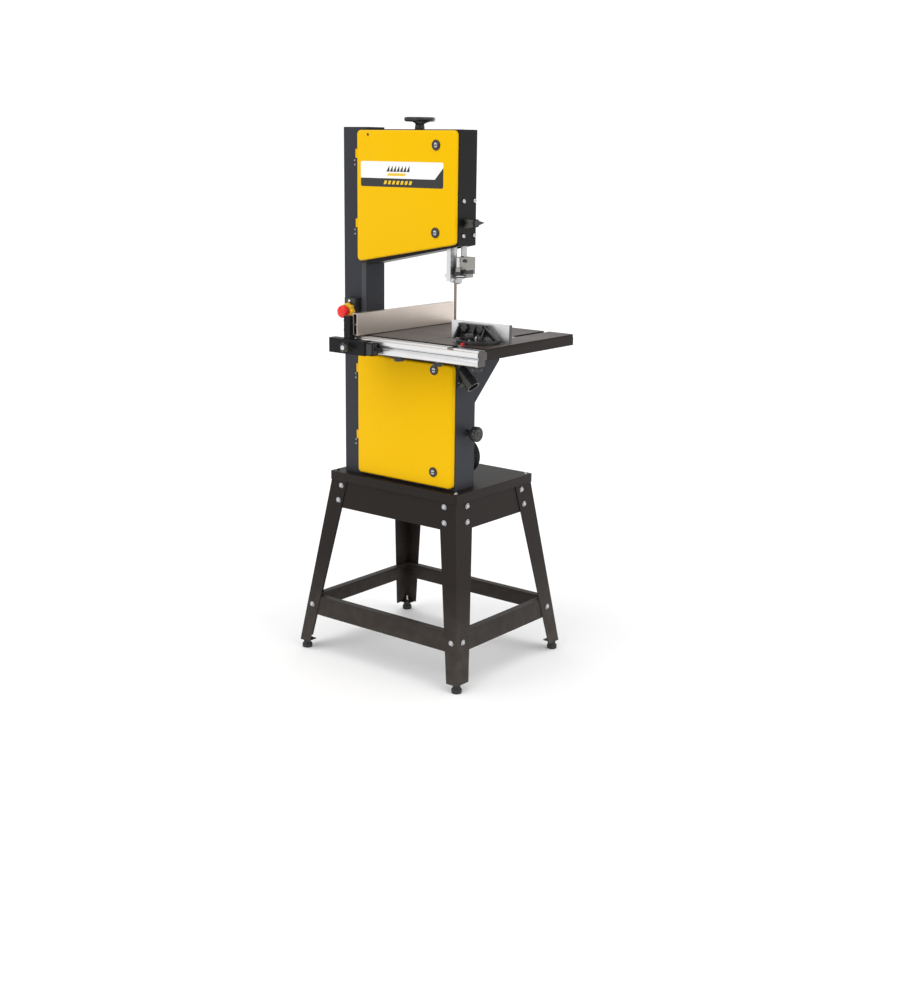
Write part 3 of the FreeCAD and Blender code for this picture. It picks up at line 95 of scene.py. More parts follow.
class DetailSettings(bpy.types.PropertyGroup):
    """Sizes of the small shapes that the frame leaves plain."""
    door_fold: length("Door fold", "Radius of the fold round a door's front", 5.5 * MM)
    sheet_bend: length("Sheet bend", "Radius of the outer bends in sheet steel", 1.2 * MM)
    cast_edge: length("Cast edge", "Rounding of edges on castings", 1.0 * MM)
    fine_edge: length("Fine edge", "Rounding of edges on machined pieces", 0.4 * MM)
    bolt_width: length("Bolt width", "Width of a domed bolt's head", 13.0 * MM)
    washer_width: length("Washer width", "Width of the washer under a domed bolt", 17.0 * MM)
    door_width: length("Door width", "Width of both doors' folded skins", 349.0 * MM)
    door_corner: length("Door corner", "Radius of a door's corners, seen from the front", 12.0 * MM)
    door_slope: length("Door slope", "Rise of the upper door's lower edge", 63.5 * MM)
    knuckle_length: length("Knuckle length", "Length of a door's hinge knuckle", 24.3 * MM)
    label_corner: length("Label corner", "Radius of the label's corners", 5.0 * MM)
    tooth_pitch: length("Tooth pitch", "Distance from one saw tooth to the next", 4.2 * MM)
    tooth_depth: length("Tooth depth", "Depth of a saw tooth", 1.6 * MM)
    motor_ribs: IntProperty(name="Motor ribs", description="Cooling ribs round the motor",
                            default=36, min=8, max=72)


def finish_colour(name):
    return tuple(getattr(bpy.context.scene.saw_finish, name))


def size(name):
    return getattr(bpy.context.scene.saw_detail, name)


# ---------------------------------------------------------------- node groups
def add_node(tree, kind, links=None, **values):
    """A node with its properties and unlinked inputs set, and its other inputs linked."""
    node = tree.nodes.new(kind)
    for name, value in values.items():
        if name.startswith("in_"):
            node.inputs[int(name[3:])].default_value = value
        else:
            setattr(node, name, value)
    for socket, source in (links or {}).items():
        tree.links.new(source, node.inputs[socket])
    return node


def math_node(tree, operation, first, second=0.0):
    node = tree.nodes.new("ShaderNodeMath")
    node.operation = operation
    for index, value in enumerate((first, second)):
        if isinstance(value, (int, float)):
            node.inputs[index].default_value = value
        else:
            tree.links.new(value, node.inputs[index])
    return node.outputs[0]


def mix_colour(tree, share, first, second):
    node = tree.nodes.new("ShaderNodeMix")
    node.data_type = "RGBA"
    sockets = {"Factor": node.inputs[0], "A": node.inputs[6], "B": node.inputs[7]}
    for key, value in (("Factor", share), ("A", first), ("B", second)):
        if isinstance(value, bpy.types.NodeSocket):
            tree.links.new(value, sockets[key])
        elif key == "Factor":
            sockets[key].default_value = value
        else:
            sockets[key].default_value = (*value[:3], 1.0)
    return node.outputs[2]


def new_group(name, inputs, outputs):
    """An empty shader group with named sockets, and its two ends."""
    tree = bpy.data.node_groups.new(name, "ShaderNodeTree")
    for socket, (kind, value) in inputs.items():
        made = tree.interface.new_socket(socket, in_out="INPUT", socket_type=kind)
        made.default_value = value
    for socket, kind in outputs.items():
        tree.interface.new_socket(socket, in_out="OUTPUT", socket_type=kind)
    return tree, tree.nodes.new("NodeGroupInput"), tree.nodes.new("NodeGroupOutput")


COLOUR, VALUE, VECTOR = "NodeSocketColor", "NodeSocketFloat", "NodeSocketVector"


def paint_skin_group():
    """Sprayed paint: slow changes of tone, a faint orange peel and small scuffs."""
    tree, start, end = new_group("Paint skin", {
        "Paint": (COLOUR, (0.1, 0.1, 0.1, 1)), "Faded": (COLOUR, (0.12, 0.12, 0.12, 1)),
        "Roughness": (VALUE, 0.35), "Roughness Spread": (VALUE, 0.08),
        "Tone Scale": (VALUE, 5.0), "Peel Scale": (VALUE, 900.0), "Scuffs": (VALUE, 0.3)},
        {"Color": COLOUR, "Roughness": VALUE, "Height": VALUE})
    place = add_node(tree, "ShaderNodeTexCoord").outputs["Object"]
    tone = add_node(tree, "ShaderNodeTexNoise", {"Vector": place, "Scale": start.outputs["Tone Scale"]})
    tone.inputs["Detail"].default_value = 4.0
    peel = add_node(tree, "ShaderNodeTexNoise", {"Vector": place, "Scale": start.outputs["Peel Scale"]})
    peel.inputs["Detail"].default_value = 1.0
    scuff = add_node(tree, "ShaderNodeTexNoise", {"Vector": place})
    scuff.inputs["Scale"].default_value = 38.0
    scuff.inputs["Detail"].default_value = 9.0
    scuff.inputs["Roughness"].default_value = 0.72
    marks = math_node(tree, "MULTIPLY", math_node(tree, "GREATER_THAN", scuff.outputs[0], 0.66),
                      start.outputs["Scuffs"])
    blend = mix_colour(tree, tone.outputs[0], start.outputs["Paint"], start.outputs["Faded"])
    shade = mix_colour(tree, math_node(tree, "MULTIPLY", marks, 0.35), blend, start.outputs["Faded"])
    centred = math_node(tree, "SUBTRACT", tone.outputs[0], 0.5)
    drift = math_node(tree, "MULTIPLY", centred, start.outputs["Roughness Spread"])
    rough = math_node(tree, "ADD", start.outputs["Roughness"], drift)
    rough = math_node(tree, "ADD", rough, math_node(tree, "MULTIPLY", marks, 0.12))
    tree.links.new(shade, end.inputs["Color"])
    tree.links.new(rough, end.inputs["Roughness"])
    tree.links.new(peel.outputs[0], end.inputs["Height"])
    return tree


def brushed_group():
    """Drawn, ground or brushed metal: fine lines along one way, with slow tone changes."""
    tree, start, end = new_group("Brushed lines", {
        "Metal": (COLOUR, (0.6, 0.6, 0.6, 1)), "Shadowed": (COLOUR, (0.5, 0.5, 0.5, 1)),
        "Line Scale": (VECTOR, (4, 900, 900)), "Roughness": (VALUE, 0.3),
        "Roughness Spread": (VALUE, 0.2), "Tone Scale": (VALUE, 9.0)},
        {"Color": COLOUR, "Roughness": VALUE, "Height": VALUE})
    place = add_node(tree, "ShaderNodeTexCoord").outputs["Object"]
    stretched = add_node(tree, "ShaderNodeMapping", {"Vector": place, "Scale": start.outputs["Line Scale"]})
    lines = add_node(tree, "ShaderNodeTexNoise", {"Vector": stretched.outputs[0]})
    lines.inputs["Scale"].default_value = 1.0
    lines.inputs["Detail"].default_value = 3.0
    tone = add_node(tree, "ShaderNodeTexNoise", {"Vector": place, "Scale": start.outputs["Tone Scale"]})
    tone.inputs["Detail"].default_value = 5.0
    both = math_node(tree, "MULTIPLY", math_node(tree, "ADD", lines.outputs[0], tone.outputs[0]), 0.5)
    shade = mix_colour(tree, both, start.outputs["Shadowed"], start.outputs["Metal"])
    drift = math_node(tree, "MULTIPLY", math_node(tree, "SUBTRACT", both, 0.5),
                      start.outputs["Roughness Spread"])
    tree.links.new(shade, end.inputs["Color"])
    tree.links.new(math_node(tree, "SUBTRACT", start.outputs["Roughness"], drift),
                   end.inputs["Roughness"])
    tree.links.new(lines.outputs[0], end.inputs["Height"])
    return tree


def moulded_group():
    """Moulded plastic or rubber: a fine spark-eroded grain and faint flow marks."""
    tree, start, end = new_group("Moulded grain", {
        "Plastic": (COLOUR, (0.02, 0.02, 0.02, 1)), "Worn": (COLOUR, (0.05, 0.05, 0.05, 1)),
        "Grain Scale": (VALUE, 1600.0), "Roughness": (VALUE, 0.35), "Roughness Spread": (VALUE, 0.15)},
        {"Color": COLOUR, "Roughness": VALUE, "Height": VALUE})
    place = add_node(tree, "ShaderNodeTexCoord").outputs["Object"]
    grain = add_node(tree, "ShaderNodeTexVoronoi", {"Vector": place, "Scale": start.outputs["Grain Scale"]})
    flow = add_node(tree, "ShaderNodeTexNoise", {"Vector": place})
    flow.inputs["Scale"].default_value = 24.0
    flow.inputs["Detail"].default_value = 6.0
    shade = mix_colour(tree, flow.outputs[0], start.outputs["Plastic"], start.outputs["Worn"])
    drift = math_node(tree, "MULTIPLY", math_node(tree, "SUBTRACT", flow.outputs[0], 0.5),
                      start.outputs["Roughness Spread"])
    tree.links.new(shade, end.inputs["Color"])
    tree.links.new(math_node(tree, "ADD", start.outputs["Roughness"], drift), end.inputs["Roughness"])
    tree.links.new(grain.outputs["Distance"], end.inputs["Height"])
    return tree


def dust_group():
    """Workshop dust that thickens towards a height, broken up by noise."""
    tree, start, end = new_group("Settled dust", {
        "Color": (COLOUR, (0.1, 0.1, 0.1, 1)), "Dust": (COLOUR, (0.30, 0.26, 0.22, 1)),
        "Clear Above": (VALUE, 0.3), "Thick Below": (VALUE, 0.0), "Amount": (VALUE, 0.25)},
        {"Color": COLOUR, "Mask": VALUE})
    place = add_node(tree, "ShaderNodeTexCoord").outputs["Object"]
    height = add_node(tree, "ShaderNodeSeparateXYZ", {"Vector": place}).outputs["Z"]
    fade = add_node(tree, "ShaderNodeMapRange", {
        "Value": height, "From Min": start.outputs["Clear Above"],
        "From Max": start.outputs["Thick Below"]})
    patches = add_node(tree, "ShaderNodeTexNoise", {"Vector": place})
    patches.inputs["Scale"].default_value = 30.0
    patches.inputs["Detail"].default_value = 8.0
    mask = math_node(tree, "MULTIPLY", fade.outputs[0], patches.outputs[0])
    mask = math_node(tree, "MULTIPLY", mask, start.outputs["Amount"])
    tree.links.new(mix_colour(tree, mask, start.outputs["Color"], start.outputs["Dust"]),
                   end.inputs["Color"])
    tree.links.new(mask, end.inputs["Mask"])
    return tree


GROUPS = {"paint": paint_skin_group, "brushed": brushed_group, "moulded": moulded_group,
          "dust": dust_group}
made_groups = {}
made_materials = {}


def group_node(tree, kind, **values):
    if kind not in made_groups:
        made_groups[kind] = GROUPS[kind]()
    node = tree.nodes.new("ShaderNodeGroup")
    node.node_tree = made_groups[kind]
    for name, value in values.items():
        socket = node.inputs[name.replace("_", " ")]
        if isinstance(value, bpy.types.NodeSocket):
            tree.links.new(value, socket)
        else:
            socket.default_value = (*value, 1.0) if socket.type == "RGBA" else value
    return node


def tinted(base, share):
    """A colour moved towards white by a share, or towards black if the share is negative."""
    aim = 1.0 if share > 0 else 0.0
    return tuple(c + (aim - c) * abs(share) for c in base)


def surface(name, colour_socket_of, bump_height, bump_strength, **shader_values):
    """A material round one Principled shader; colour_socket_of builds what feeds it."""
    if name in made_materials:
        return made_materials[name]
    material = bpy.data.materials.new(name)
    material.use_nodes = True
    tree = material.node_tree
    shader = tree.nodes["Principled BSDF"]
    for socket, value in shader_values.items():
        shader.inputs[socket.replace("_", " ")].default_value = value
    skin = colour_socket_of(tree)
    tree.links.new(skin["Color"], shader.inputs["Base Color"])
    tree.links.new(skin["Roughness"], shader.inputs["Roughness"])
    if "Metallic" in skin:
        tree.links.new(skin["Metallic"], shader.inputs["Metallic"])
    bump = tree.nodes.new("ShaderNodeBump")
    bump.inputs["Strength"].default_value = bump_strength
    bump.inputs["Distance"].default_value = bump_height
    tree.links.new(skin["Height"], bump.inputs["Height"])
    tree.links.new(bump.outputs[0], shader.inputs["Normal"])
    made_materials[name] = material
    return material


def painted(name, paint, roughness=0.34, peel=0.16, scuffs=0.2, dusty=False, sheen=(1, 1, 1)):
    def build(tree):
        skin = group_node(tree, "paint", Paint=paint, Faded=tinted(paint, 0.006),
                          Roughness=roughness, Scuffs=scuffs)
        out = {key: skin.outputs[key] for key in ("Color", "Roughness", "Height")}
        if dusty:
            dust = group_node(tree, "dust", Color=skin.outputs["Color"])
            out["Color"] = dust.outputs["Color"]
        return out
    return surface(name, build, 0.00004, peel, Specular_IOR_Level=0.14, Specular_Tint=(*sheen, 1))


def metal(name, base, roughness=0.3, lines=(4, 900, 900), spread=0.2, depth=0.12, dark=-0.25):
    def build(tree):
        skin = group_node(tree, "brushed", Metal=base, Shadowed=tinted(base, dark),
                          Line_Scale=lines, Roughness=roughness, Roughness_Spread=spread)
        return skin.outputs
    return surface(name, build, 0.00003, depth, Metallic=1.0)


def moulded(name, base, roughness=0.3, grain=1600.0, depth=0.1, worn=0.02, coat=0.0):
    def build(tree):
        skin = group_node(tree, "moulded", Plastic=base, Worn=tinted(base, worn),
                          Grain_Scale=grain, Roughness=roughness)
        return skin.outputs
    return surface(name, build, 0.00004, depth, Coat_Weight=coat, Coat_Roughness=0.1,
                   Specular_IOR_Level=0.4)


# ---------------------------------------------------------------- this machine's finishes
def door_paint():
    return painted("Door paint", finish_colour("door_yellow"), 0.30, scuffs=0.12, sheen=(1, 0.6, 0.02))


def frame_paint():
    return painted("Frame paint", finish_colour("frame_grey"), 0.38, scuffs=0.3)


def panel_paint():
    return painted("Panel paint", finish_colour("panel_black"), 0.36, scuffs=0.2)


def stand_paint():
    return painted("Stand paint", finish_colour("stand_brown"), 0.40, scuffs=0.35, dusty=True)


def cast_paint():
    return painted("Casting paint", finish_colour("panel_black"), 0.52, peel=0.5, scuffs=0.4)


def zinc():
    return metal("Bright zinc", finish_colour("zinc"), 0.24, (300, 300, 300), 0.15)


def turned_steel():
    return metal("Turned steel", (0.56, 0.56, 0.57), 0.26, (700, 700, 12), 0.2)


def satin_silver():
    return metal("Satin silver", (0.80, 0.81, 0.82), 0.34, (60, 60, 500), 0.2)


def guide_alloy():
    return metal("Guide alloy", (0.40, 0.385, 0.36), 0.42, (90, 90, 90), 0.25, 0.3)


def rail_aluminium():
    return metal("Rail aluminium", finish_colour("aluminium"), 0.30, (3, 1100, 1100), 0.25, 0.2)


def fence_aluminium():
    return metal("Fence aluminium", (0.84, 0.74, 0.66), 0.33, (900, 3, 900), 0.25, 0.2)


def plate_aluminium():
    return metal("Face plate aluminium", finish_colour("aluminium"), 0.30, (3, 900, 900), 0.25, 0.2)


def wheel_alloy():
    return metal("Wheel alloy", (0.46, 0.46, 0.48), 0.42, (180, 180, 180), 0.3, 0.3)


def blade_steel():
    return metal("Blade steel", (0.30, 0.25, 0.21), 0.36, (900, 900, 14), 0.3)


def black_plastic():
    return moulded("Black plastic", finish_colour("plastic_black"), 0.26, coat=0.15)


def rubber():
    return moulded("Rubber", (0.012, 0.012, 0.012), 0.62, 1100.0, 0.4, worn=0.03)


def end_plastic():
    return moulded("End cap plastic", (0.075, 0.070, 0.068), 0.5, 1300.0, 0.2)


def collar_plastic():
    return moulded("Collar plastic", finish_colour("collar_yellow"), 0.34, worn=0.04)


def stop_plastic():
    return moulded("Stop plastic", finish_colour("stop_red"), 0.24, worn=0.006, coat=0.1)


def insert_plastic():
    return moulded("Insert plastic", (0.045, 0.038, 0.036), 0.42, worn=0.04)


def table_iron():
    """Ground on top and in the slot, and painted below: told apart by height."""
    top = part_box("table")[1].z

    def build(tree):
        ground = group_node(tree, "brushed", Metal=finish_colour("ground_iron"),
                            Shadowed=tinted(finish_colour("ground_iron"), -0.35),
                            Line_Scale=(900, 6, 900), Roughness=0.34, Roughness_Spread=0.25)
        paint = group_node(tree, "paint", Paint=finish_colour("stand_brown"),
                           Faded=tinted(finish_colour("stand_brown"), 0.006), Roughness=0.45, Scuffs=0.3)
        place = add_node(tree, "ShaderNodeTexCoord").outputs["Object"]
        height = add_node(tree, "ShaderNodeSeparateXYZ", {"Vector": place}).outputs["Z"]
        upper = math_node(tree, "GREATER_THAN", height, top - 0.7 * MM)
        rough = tree.nodes.new("ShaderNodeMix")
        tree.links.new(upper, rough.inputs[0])
        tree.links.new(paint.outputs["Roughness"], rough.inputs[2])
        tree.links.new(ground.outputs["Roughness"], rough.inputs[3])
        return {"Color": mix_colour(tree, upper, paint.outputs["Color"], ground.outputs["Color"]),
                "Roughness": rough.outputs[0], "Height": ground.outputs["Height"],
                "Metallic": math_node(tree, "MULTIPLY", upper, 0.4)}
    return surface("Table iron", build, 0.00003, 0.15, Specular_IOR_Level=0.14)


# ---------------------------------------------------------------- mesh helpers
def new_object(name, mesh):
    piece = bpy.data.objects.new(name, mesh)
    bpy.context.scene.collection.objects.link(piece)
    return piece


def dress(piece, material, body, slot_name, *nodes):
    """Gives a finished piece its material and body, and hides the nodes it stands for."""
    piece.data.materials.clear()
    piece.data.materials.append(material)
    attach(piece, body)
    if nodes:
        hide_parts(*nodes)
    return piece


def plain_mesh(name, work):
    """The mesh of a bmesh that is done with."""
    mesh = bpy.data.meshes.new(name)
    work.to_mesh(mesh)
    work.free()
    return mesh


def closed_mesh(name, work):
    """The mesh of a closed bmesh, with its normals turned outward."""
    bmesh.ops.recalc_face_normals(work, faces=work.faces)
    return plain_mesh(name, work)


def wall(work, first, second):
    """Four-cornered faces between two rings of as many vertices."""
    for i in range(len(first)):
        after = (i + 1) % len(first)
        work.faces.new((first[i], first[after], second[after], second[i]))


def smooth_by_angle(mesh, degrees=32):
    mesh.shade_smooth()
    mesh.set_sharp_from_angle(angle=math.radians(degrees))


def applied(piece):
    """Turns a piece with modifiers into a plain mesh, and removes the modifiers."""
    graph = bpy.context.evaluated_depsgraph_get()
    mesh = bpy.data.meshes.new_from_object(piece.evaluated_get(graph), depsgraph=graph)
    old = piece.data
    piece.modifiers.clear()
    piece.data = mesh
    bpy.data.meshes.remove(old)
    return piece


def round_off(piece, width, segments=2, angle=38):
    """Rounds a piece's sharp edges for real, and shades its flats flat."""
    bevel = piece.modifiers.new("Rounding", "BEVEL")
    bevel.width = width
    bevel.segments = segments
    bevel.limit_method = "ANGLE"
    bevel.angle_limit = math.radians(angle)
    bevel.harden_normals = True
    bevel.use_clamp_overlap = True
    return applied(piece)


def merged_copy(node):
    """The mesh of a frame node with its triangles joined into whole faces."""
    work = bmesh.new()
    work.from_mesh(frame["nodes"][node].data)
    bmesh.ops.remove_doubles(work, verts=work.verts, dist=FINE)
    bmesh.ops.dissolve_limit(work, angle_limit=math.radians(0.6), verts=work.verts,
                             edges=work.edges, use_dissolve_boundaries=False)
    return plain_mesh(node, work)


def softened(node, name, material, slot_name, width, segments=2):
    """A frame node with its edges rounded off, which stands in for the node."""
    mesh = merged_copy(node)
    smooth_by_angle(mesh)
    piece = round_off(new_object(name, mesh), width, segments)
    return dress(piece, material, frame_body(node), slot_name, node)


def rounded_corners(corners, radius, inset, steps=6):
    """A convex outline, given anticlockwise, with its corners rounded, drawn in by an inset."""
    points = []
    count = len(corners)
    for i, corner in enumerate(corners):
        here = Vector(corner)
        before = (here - Vector(corners[i - 1])).normalized()
        after = (Vector(corners[(i + 1) % count]) - here).normalized()
        out_before, out_after = Vector((before.y, -before.x)), Vector((after.y, -after.x))
        share = radius / (1 + out_before.dot(out_after))
        centre = here - (out_before + out_after) * share
        start = math.atan2(out_before.y, out_before.x)
        turn = out_before.angle(out_after)
        for step in range(steps + 1):
            angle = start + turn * step / steps
            points.append(centre + Vector((math.cos(angle), math.sin(angle))) * (radius - inset))
    return points


def door_skin(node, step_up):
    """A folded sheet door: front skin, rolled edge, lip and hollow back, with its knuckles."""
    low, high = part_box(node)
    left, right = high.x - size("door_width"), high.x
    front, back = low.y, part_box("column")[0].y - 0.4 * MM
    corners = [(left, low.z), (right, low.z + step_up), (right, high.z), (left, high.z)]
    fold = size("door_fold")
    rings = [(fold, front)]
    for step in range(1, 7):
        angle = math.pi / 2 * step / 6
        rings.append((fold * (1 - math.sin(angle)), front + fold * (1 - math.cos(angle))))
    rings += [(0, back), (2.5 * MM, back), (2.5 * MM, front + 4.5 * MM), (5 * MM, front + 1.6 * MM)]
    work = bmesh.new()
    loops = []
    for inset, y in rings:
        outline = rounded_corners(corners, size("door_corner"), inset)
        loops.append([work.verts.new((p.x, y, p.y)) for p in outline])
    for first, second in zip(loops, loops[1:]):
        wall(work, first, second)
    work.faces.new(loops[0])
    work.faces.new(loops[-1])
    pieces = [new_object("skin", closed_mesh(node, work))]
    pin = (left - 6 * MM, front + 9 * MM)
    long = size("knuckle_length")
    for leaf_low, leaf_high in islands("hinge_frame_leaves"):
        foot = leaf_low.z + long + 0.35 * MM
        if not low.z < foot < high.z:
            continue
        pieces.append(turned_piece("knuckle", (*pin, foot), "z", [
            (2.2 * MM, 0), (4.1 * MM, 0), (4.5 * MM, 0.4 * MM), (4.5 * MM, long - 0.4 * MM),
            (4.1 * MM, long), (2.2 * MM, long)], closed=True, steps=32))
        pieces.append(block("web", (pin[0] + 3.6 * MM, pin[1] - 2 * MM, foot),
                            (left + 1 * MM, pin[1] + 2 * MM, foot + long), 0.4 * MM))
    return joined(node + "_skin", pieces)


def frame_body(node):
    bodies = frame["record"]["behaviour"]["bodies"]
    return next(body for body, nodes in bodies.items() if node in nodes)


def islands(node):
    """The lowest and highest corner of each separate solid in a frame node."""
    work = bmesh.new()
    work.from_mesh(frame["nodes"][node].data)
    bmesh.ops.remove_doubles(work, verts=work.verts, dist=FINE)
    seen = set()
    boxes = []
    for start in work.verts:
        if start in seen:
            continue
        pile, found = [start], []
        seen.add(start)
        while pile:
            vertex = pile.pop()
            found.append(vertex.co)
            for edge in vertex.link_edges:
                other = edge.other_vert(vertex)
                if other not in seen:
                    seen.add(other)
                    pile.append(other)
        low = Vector(min(p[i] for p in found) for i in range(3))
        high = Vector(max(p[i] for p in found) for i in range(3))
        boxes.append((low, high))
    work.free()
    return boxes


TURN = {"z": Matrix.Identity(3), "-z": Matrix.Rotation(math.pi, 3, "X"),
        "y": Matrix.Rotation(-math.pi / 2, 3, "X"), "-y": Matrix.Rotation(math.pi / 2, 3, "X"),
        "x": Matrix.Rotation(math.pi / 2, 3, "Y"), "-x": Matrix.Rotation(-math.pi / 2, 3, "Y")}


def turning(profile, lobes=0, depth=0.0, steps=72, closed=False, power=1.0):
    """A mesh turned about +Z from (radius, height) or (radius, height, bite) places.

    Lobes are pressed into the edge by depth, as far as each place's bite says."""
    work = bmesh.new()
    rings = []
    for spot in profile:
        radius, height = spot[:2]
        bite = spot[2] if len(spot) > 2 else 1.0
        if radius < FINE:
            rings.append([work.verts.new((0, 0, height))])
            continue
        ring = []
        for step in range(steps):
            angle = 2 * math.pi * step / steps
            dip = (0.5 - 0.5 * math.cos(lobes * angle)) ** power if lobes else 0.0
            reach = radius - depth * bite * dip
            ring.append(work.verts.new((reach * math.cos(angle), reach * math.sin(angle), height)))
        rings.append(ring)
    pairs = list(zip(rings, rings[1:] + rings[:1] if closed else rings[1:]))
    for first, second in pairs:
        for step in range(steps):
            after = (step + 1) % steps
            a, b = first[step % len(first)], first[after % len(first)]
            c, d = second[after % len(second)], second[step % len(second)]
            corners = [v for i, v in enumerate((a, b, c, d)) if v not in (a, b, c, d)[:i]]
            if len(corners) > 2:
                work.faces.new(corners)
    if not closed:
        for ring in (rings[0], rings[-1]):
            if len(ring) > 1:
                work.faces.new(ring)
    mesh = closed_mesh("turning", work)
    smooth_by_angle(mesh, 40)
    return mesh


def turned_piece(name, centre, axis, profile, **how):
    """A turned mesh stood at a point along an axis, as an object at the origin."""
    mesh = turning(profile, **how)
    mesh.transform(Matrix.Translation(centre) @ TURN[axis].to_4x4())
    return new_object(name, mesh)


def joined(name, pieces):
    """One object out of several, whose meshes are already in place."""
    work = bmesh.new()
    for piece in pieces:
        work.from_mesh(piece.data)
        mesh = piece.data
        bpy.data.objects.remove(piece)
        bpy.data.meshes.remove(mesh)
    mesh = plain_mesh(name, work)
    smooth_by_angle(mesh, 35)
    return new_object(name, mesh)


def block(name, low, high, width=0.5 * MM, segments=2):
    """A rounded block between two corners."""
    work = bmesh.new()
    bmesh.ops.create_cube(work, size=1.0)
    middle = (Vector(low) + Vector(high)) / 2
    span = Vector(high) - Vector(low)
    bmesh.ops.scale(work, vec=span, verts=work.verts)
    bmesh.ops.translate(work, vec=middle, verts=work.verts)
    return round_off(new_object(name, plain_mesh(name, work)), width, segments)


def slab(name, outline, thickness, origin, axis, width=0.0, segments=2):
    """A flat plate of an outline's shape, thickened along an axis."""
    work = bmesh.new()
    verts = [work.verts.new((x, y, 0)) for x, y in outline]
    face = work.faces.new(verts)
    grown = bmesh.ops.extrude_face_region(work, geom=[face])
    moved = [item for item in grown["geom"] if isinstance(item, bmesh.types.BMVert)]
    bmesh.ops.translate(work, vec=(0, 0, thickness), verts=moved)
    mesh = closed_mesh(name, work)
    mesh.transform(Matrix.Translation(origin) @ TURN[axis].to_4x4())
    piece = new_object(name, mesh)
    return round_off(piece, width, segments) if width else piece


def arc(centre, radius, start, end, steps=8):
    """Points round an arc, from one angle in degrees to another."""
    points = []
    for step in range(steps + 1):
        angle = math.radians(start + (end - start) * step / steps)
        points.append((centre[0] + radius * math.cos(angle), centre[1] + radius * math.sin(angle)))
    return points


# ---------------------------------------------------------------- geometry nodes
def node_tree(name, inputs):
    """An empty geometry tree with named inputs besides its geometry."""
    tree = bpy.data.node_groups.new(name, "GeometryNodeTree")
    tree.interface.new_socket("Geometry", in_out="INPUT", socket_type="NodeSocketGeometry")
    tree.interface.new_socket("Geometry", in_out="OUTPUT", socket_type="NodeSocketGeometry")
    for socket, kind in inputs.items():
        tree.interface.new_socket(socket, in_out="INPUT", socket_type=kind)
    return tree, tree.nodes.new("NodeGroupInput"), tree.nodes.new("NodeGroupOutput")


def close_tree(tree, start, end, instances):
    """Realizes the instances and gives them the material input."""
    real = add_node(tree, "GeometryNodeRealizeInstances", {"Geometry": instances})
    dressed = add_node(tree, "GeometryNodeSetMaterial", {
        "Geometry": real.outputs[0], "Material": start.outputs["Material"]})
    tree.links.new(dressed.outputs[0], end.inputs[0])


def run_tree(piece, tree, values):
    """Runs a tree on a piece with its inputs set, and leaves a plain mesh."""
    modifier = piece.modifiers.new(tree.name, "NODES")
    modifier.node_group = tree
    for item in tree.interface.items_tree:
        if item.in_out == "INPUT" and item.name in values:
            modifier[item.identifier] = values[item.name]
    return applied(piece)


made_trees = {}


def scatter_tree():
    """Sets one small shape on each point, with its +Z turned to the point's facing."""
    if "scatter" in made_trees:
        return made_trees["scatter"]
    tree, start, end = node_tree("Fastener field", {
        "Shape": "NodeSocketObject", "Scale": "NodeSocketFloat", "Material": "NodeSocketMaterial"})
    shape = add_node(tree, "GeometryNodeObjectInfo", {"Object": start.outputs["Shape"]})
    facing = add_node(tree, "GeometryNodeInputNamedAttribute", data_type="FLOAT_VECTOR")
    facing.inputs["Name"].default_value = "facing"
    turn = add_node(tree, "FunctionNodeAlignRotationToVector", {"Vector": facing.outputs[0]}, axis="Z")
    laid = add_node(tree, "GeometryNodeInstanceOnPoints", {
        "Points": start.outputs["Geometry"], "Instance": shape.outputs["Geometry"],
        "Rotation": turn.outputs[0], "Scale": start.outputs["Scale"]})
    close_tree(tree, start, end, laid.outputs[0])
    made_trees["scatter"] = tree
    return tree


def scattered(name, shape_mesh, spots, material):
    """Copies of a small mesh at (point, facing) spots, as one plain mesh."""
    mesh = bpy.data.meshes.new(name)
    mesh.from_pydata([tuple(point) for point, _ in spots], [], [])
    facing = mesh.attributes.new("facing", "FLOAT_VECTOR", "POINT")
    for item, (_, direction) in zip(facing.data, spots):
        item.vector = direction
    shape = new_object(name + "_shape", shape_mesh)
    piece = run_tree(new_object(name, mesh), scatter_tree(), {
        "Shape": shape, "Scale": 1.0, "Material": material})
    bpy.data.objects.remove(shape)
    smooth_by_angle(piece.data, 35)
    return piece


def ring_tree():
    """Bars set round a circle about +Z, as cooling ribs, slots or tick marks."""
    if "ring" in made_trees:
        return made_trees["ring"]
    tree, start, end = node_tree("Bars on a circle", {
        "Count": "NodeSocketInt", "Radius": "NodeSocketFloat", "Bar": "NodeSocketVector",
        "Material": "NodeSocketMaterial"})
    circle = add_node(tree, "GeometryNodeCurvePrimitiveCircle", {
        "Resolution": start.outputs["Count"], "Radius": start.outputs["Radius"]})
    points = add_node(tree, "GeometryNodeCurveToPoints", {"Curve": circle.outputs[0]}, mode="EVALUATED")
    bar = add_node(tree, "GeometryNodeMeshCube", {"Size": start.outputs["Bar"]})
    laid = add_node(tree, "GeometryNodeInstanceOnPoints", {
        "Points": points.outputs["Points"], "Instance": bar.outputs[0],
        "Rotation": points.outputs["Rotation"]})
    close_tree(tree, start, end, laid.outputs[0])
    made_trees["ring"] = tree
    return tree


def ring_of_bars(name, centre, axis, count, radius, bar, material):
    """Bars round a circle: bar gives their size along the axis, inwards and round."""
    mesh = bpy.data.meshes.new(name)
    piece = run_tree(new_object(name, mesh), ring_tree(), {
        "Count": count, "Radius": radius, "Bar": bar, "Material": material})
    piece.data.transform(Matrix.Translation(centre) @ TURN[axis].to_4x4())
    return piece


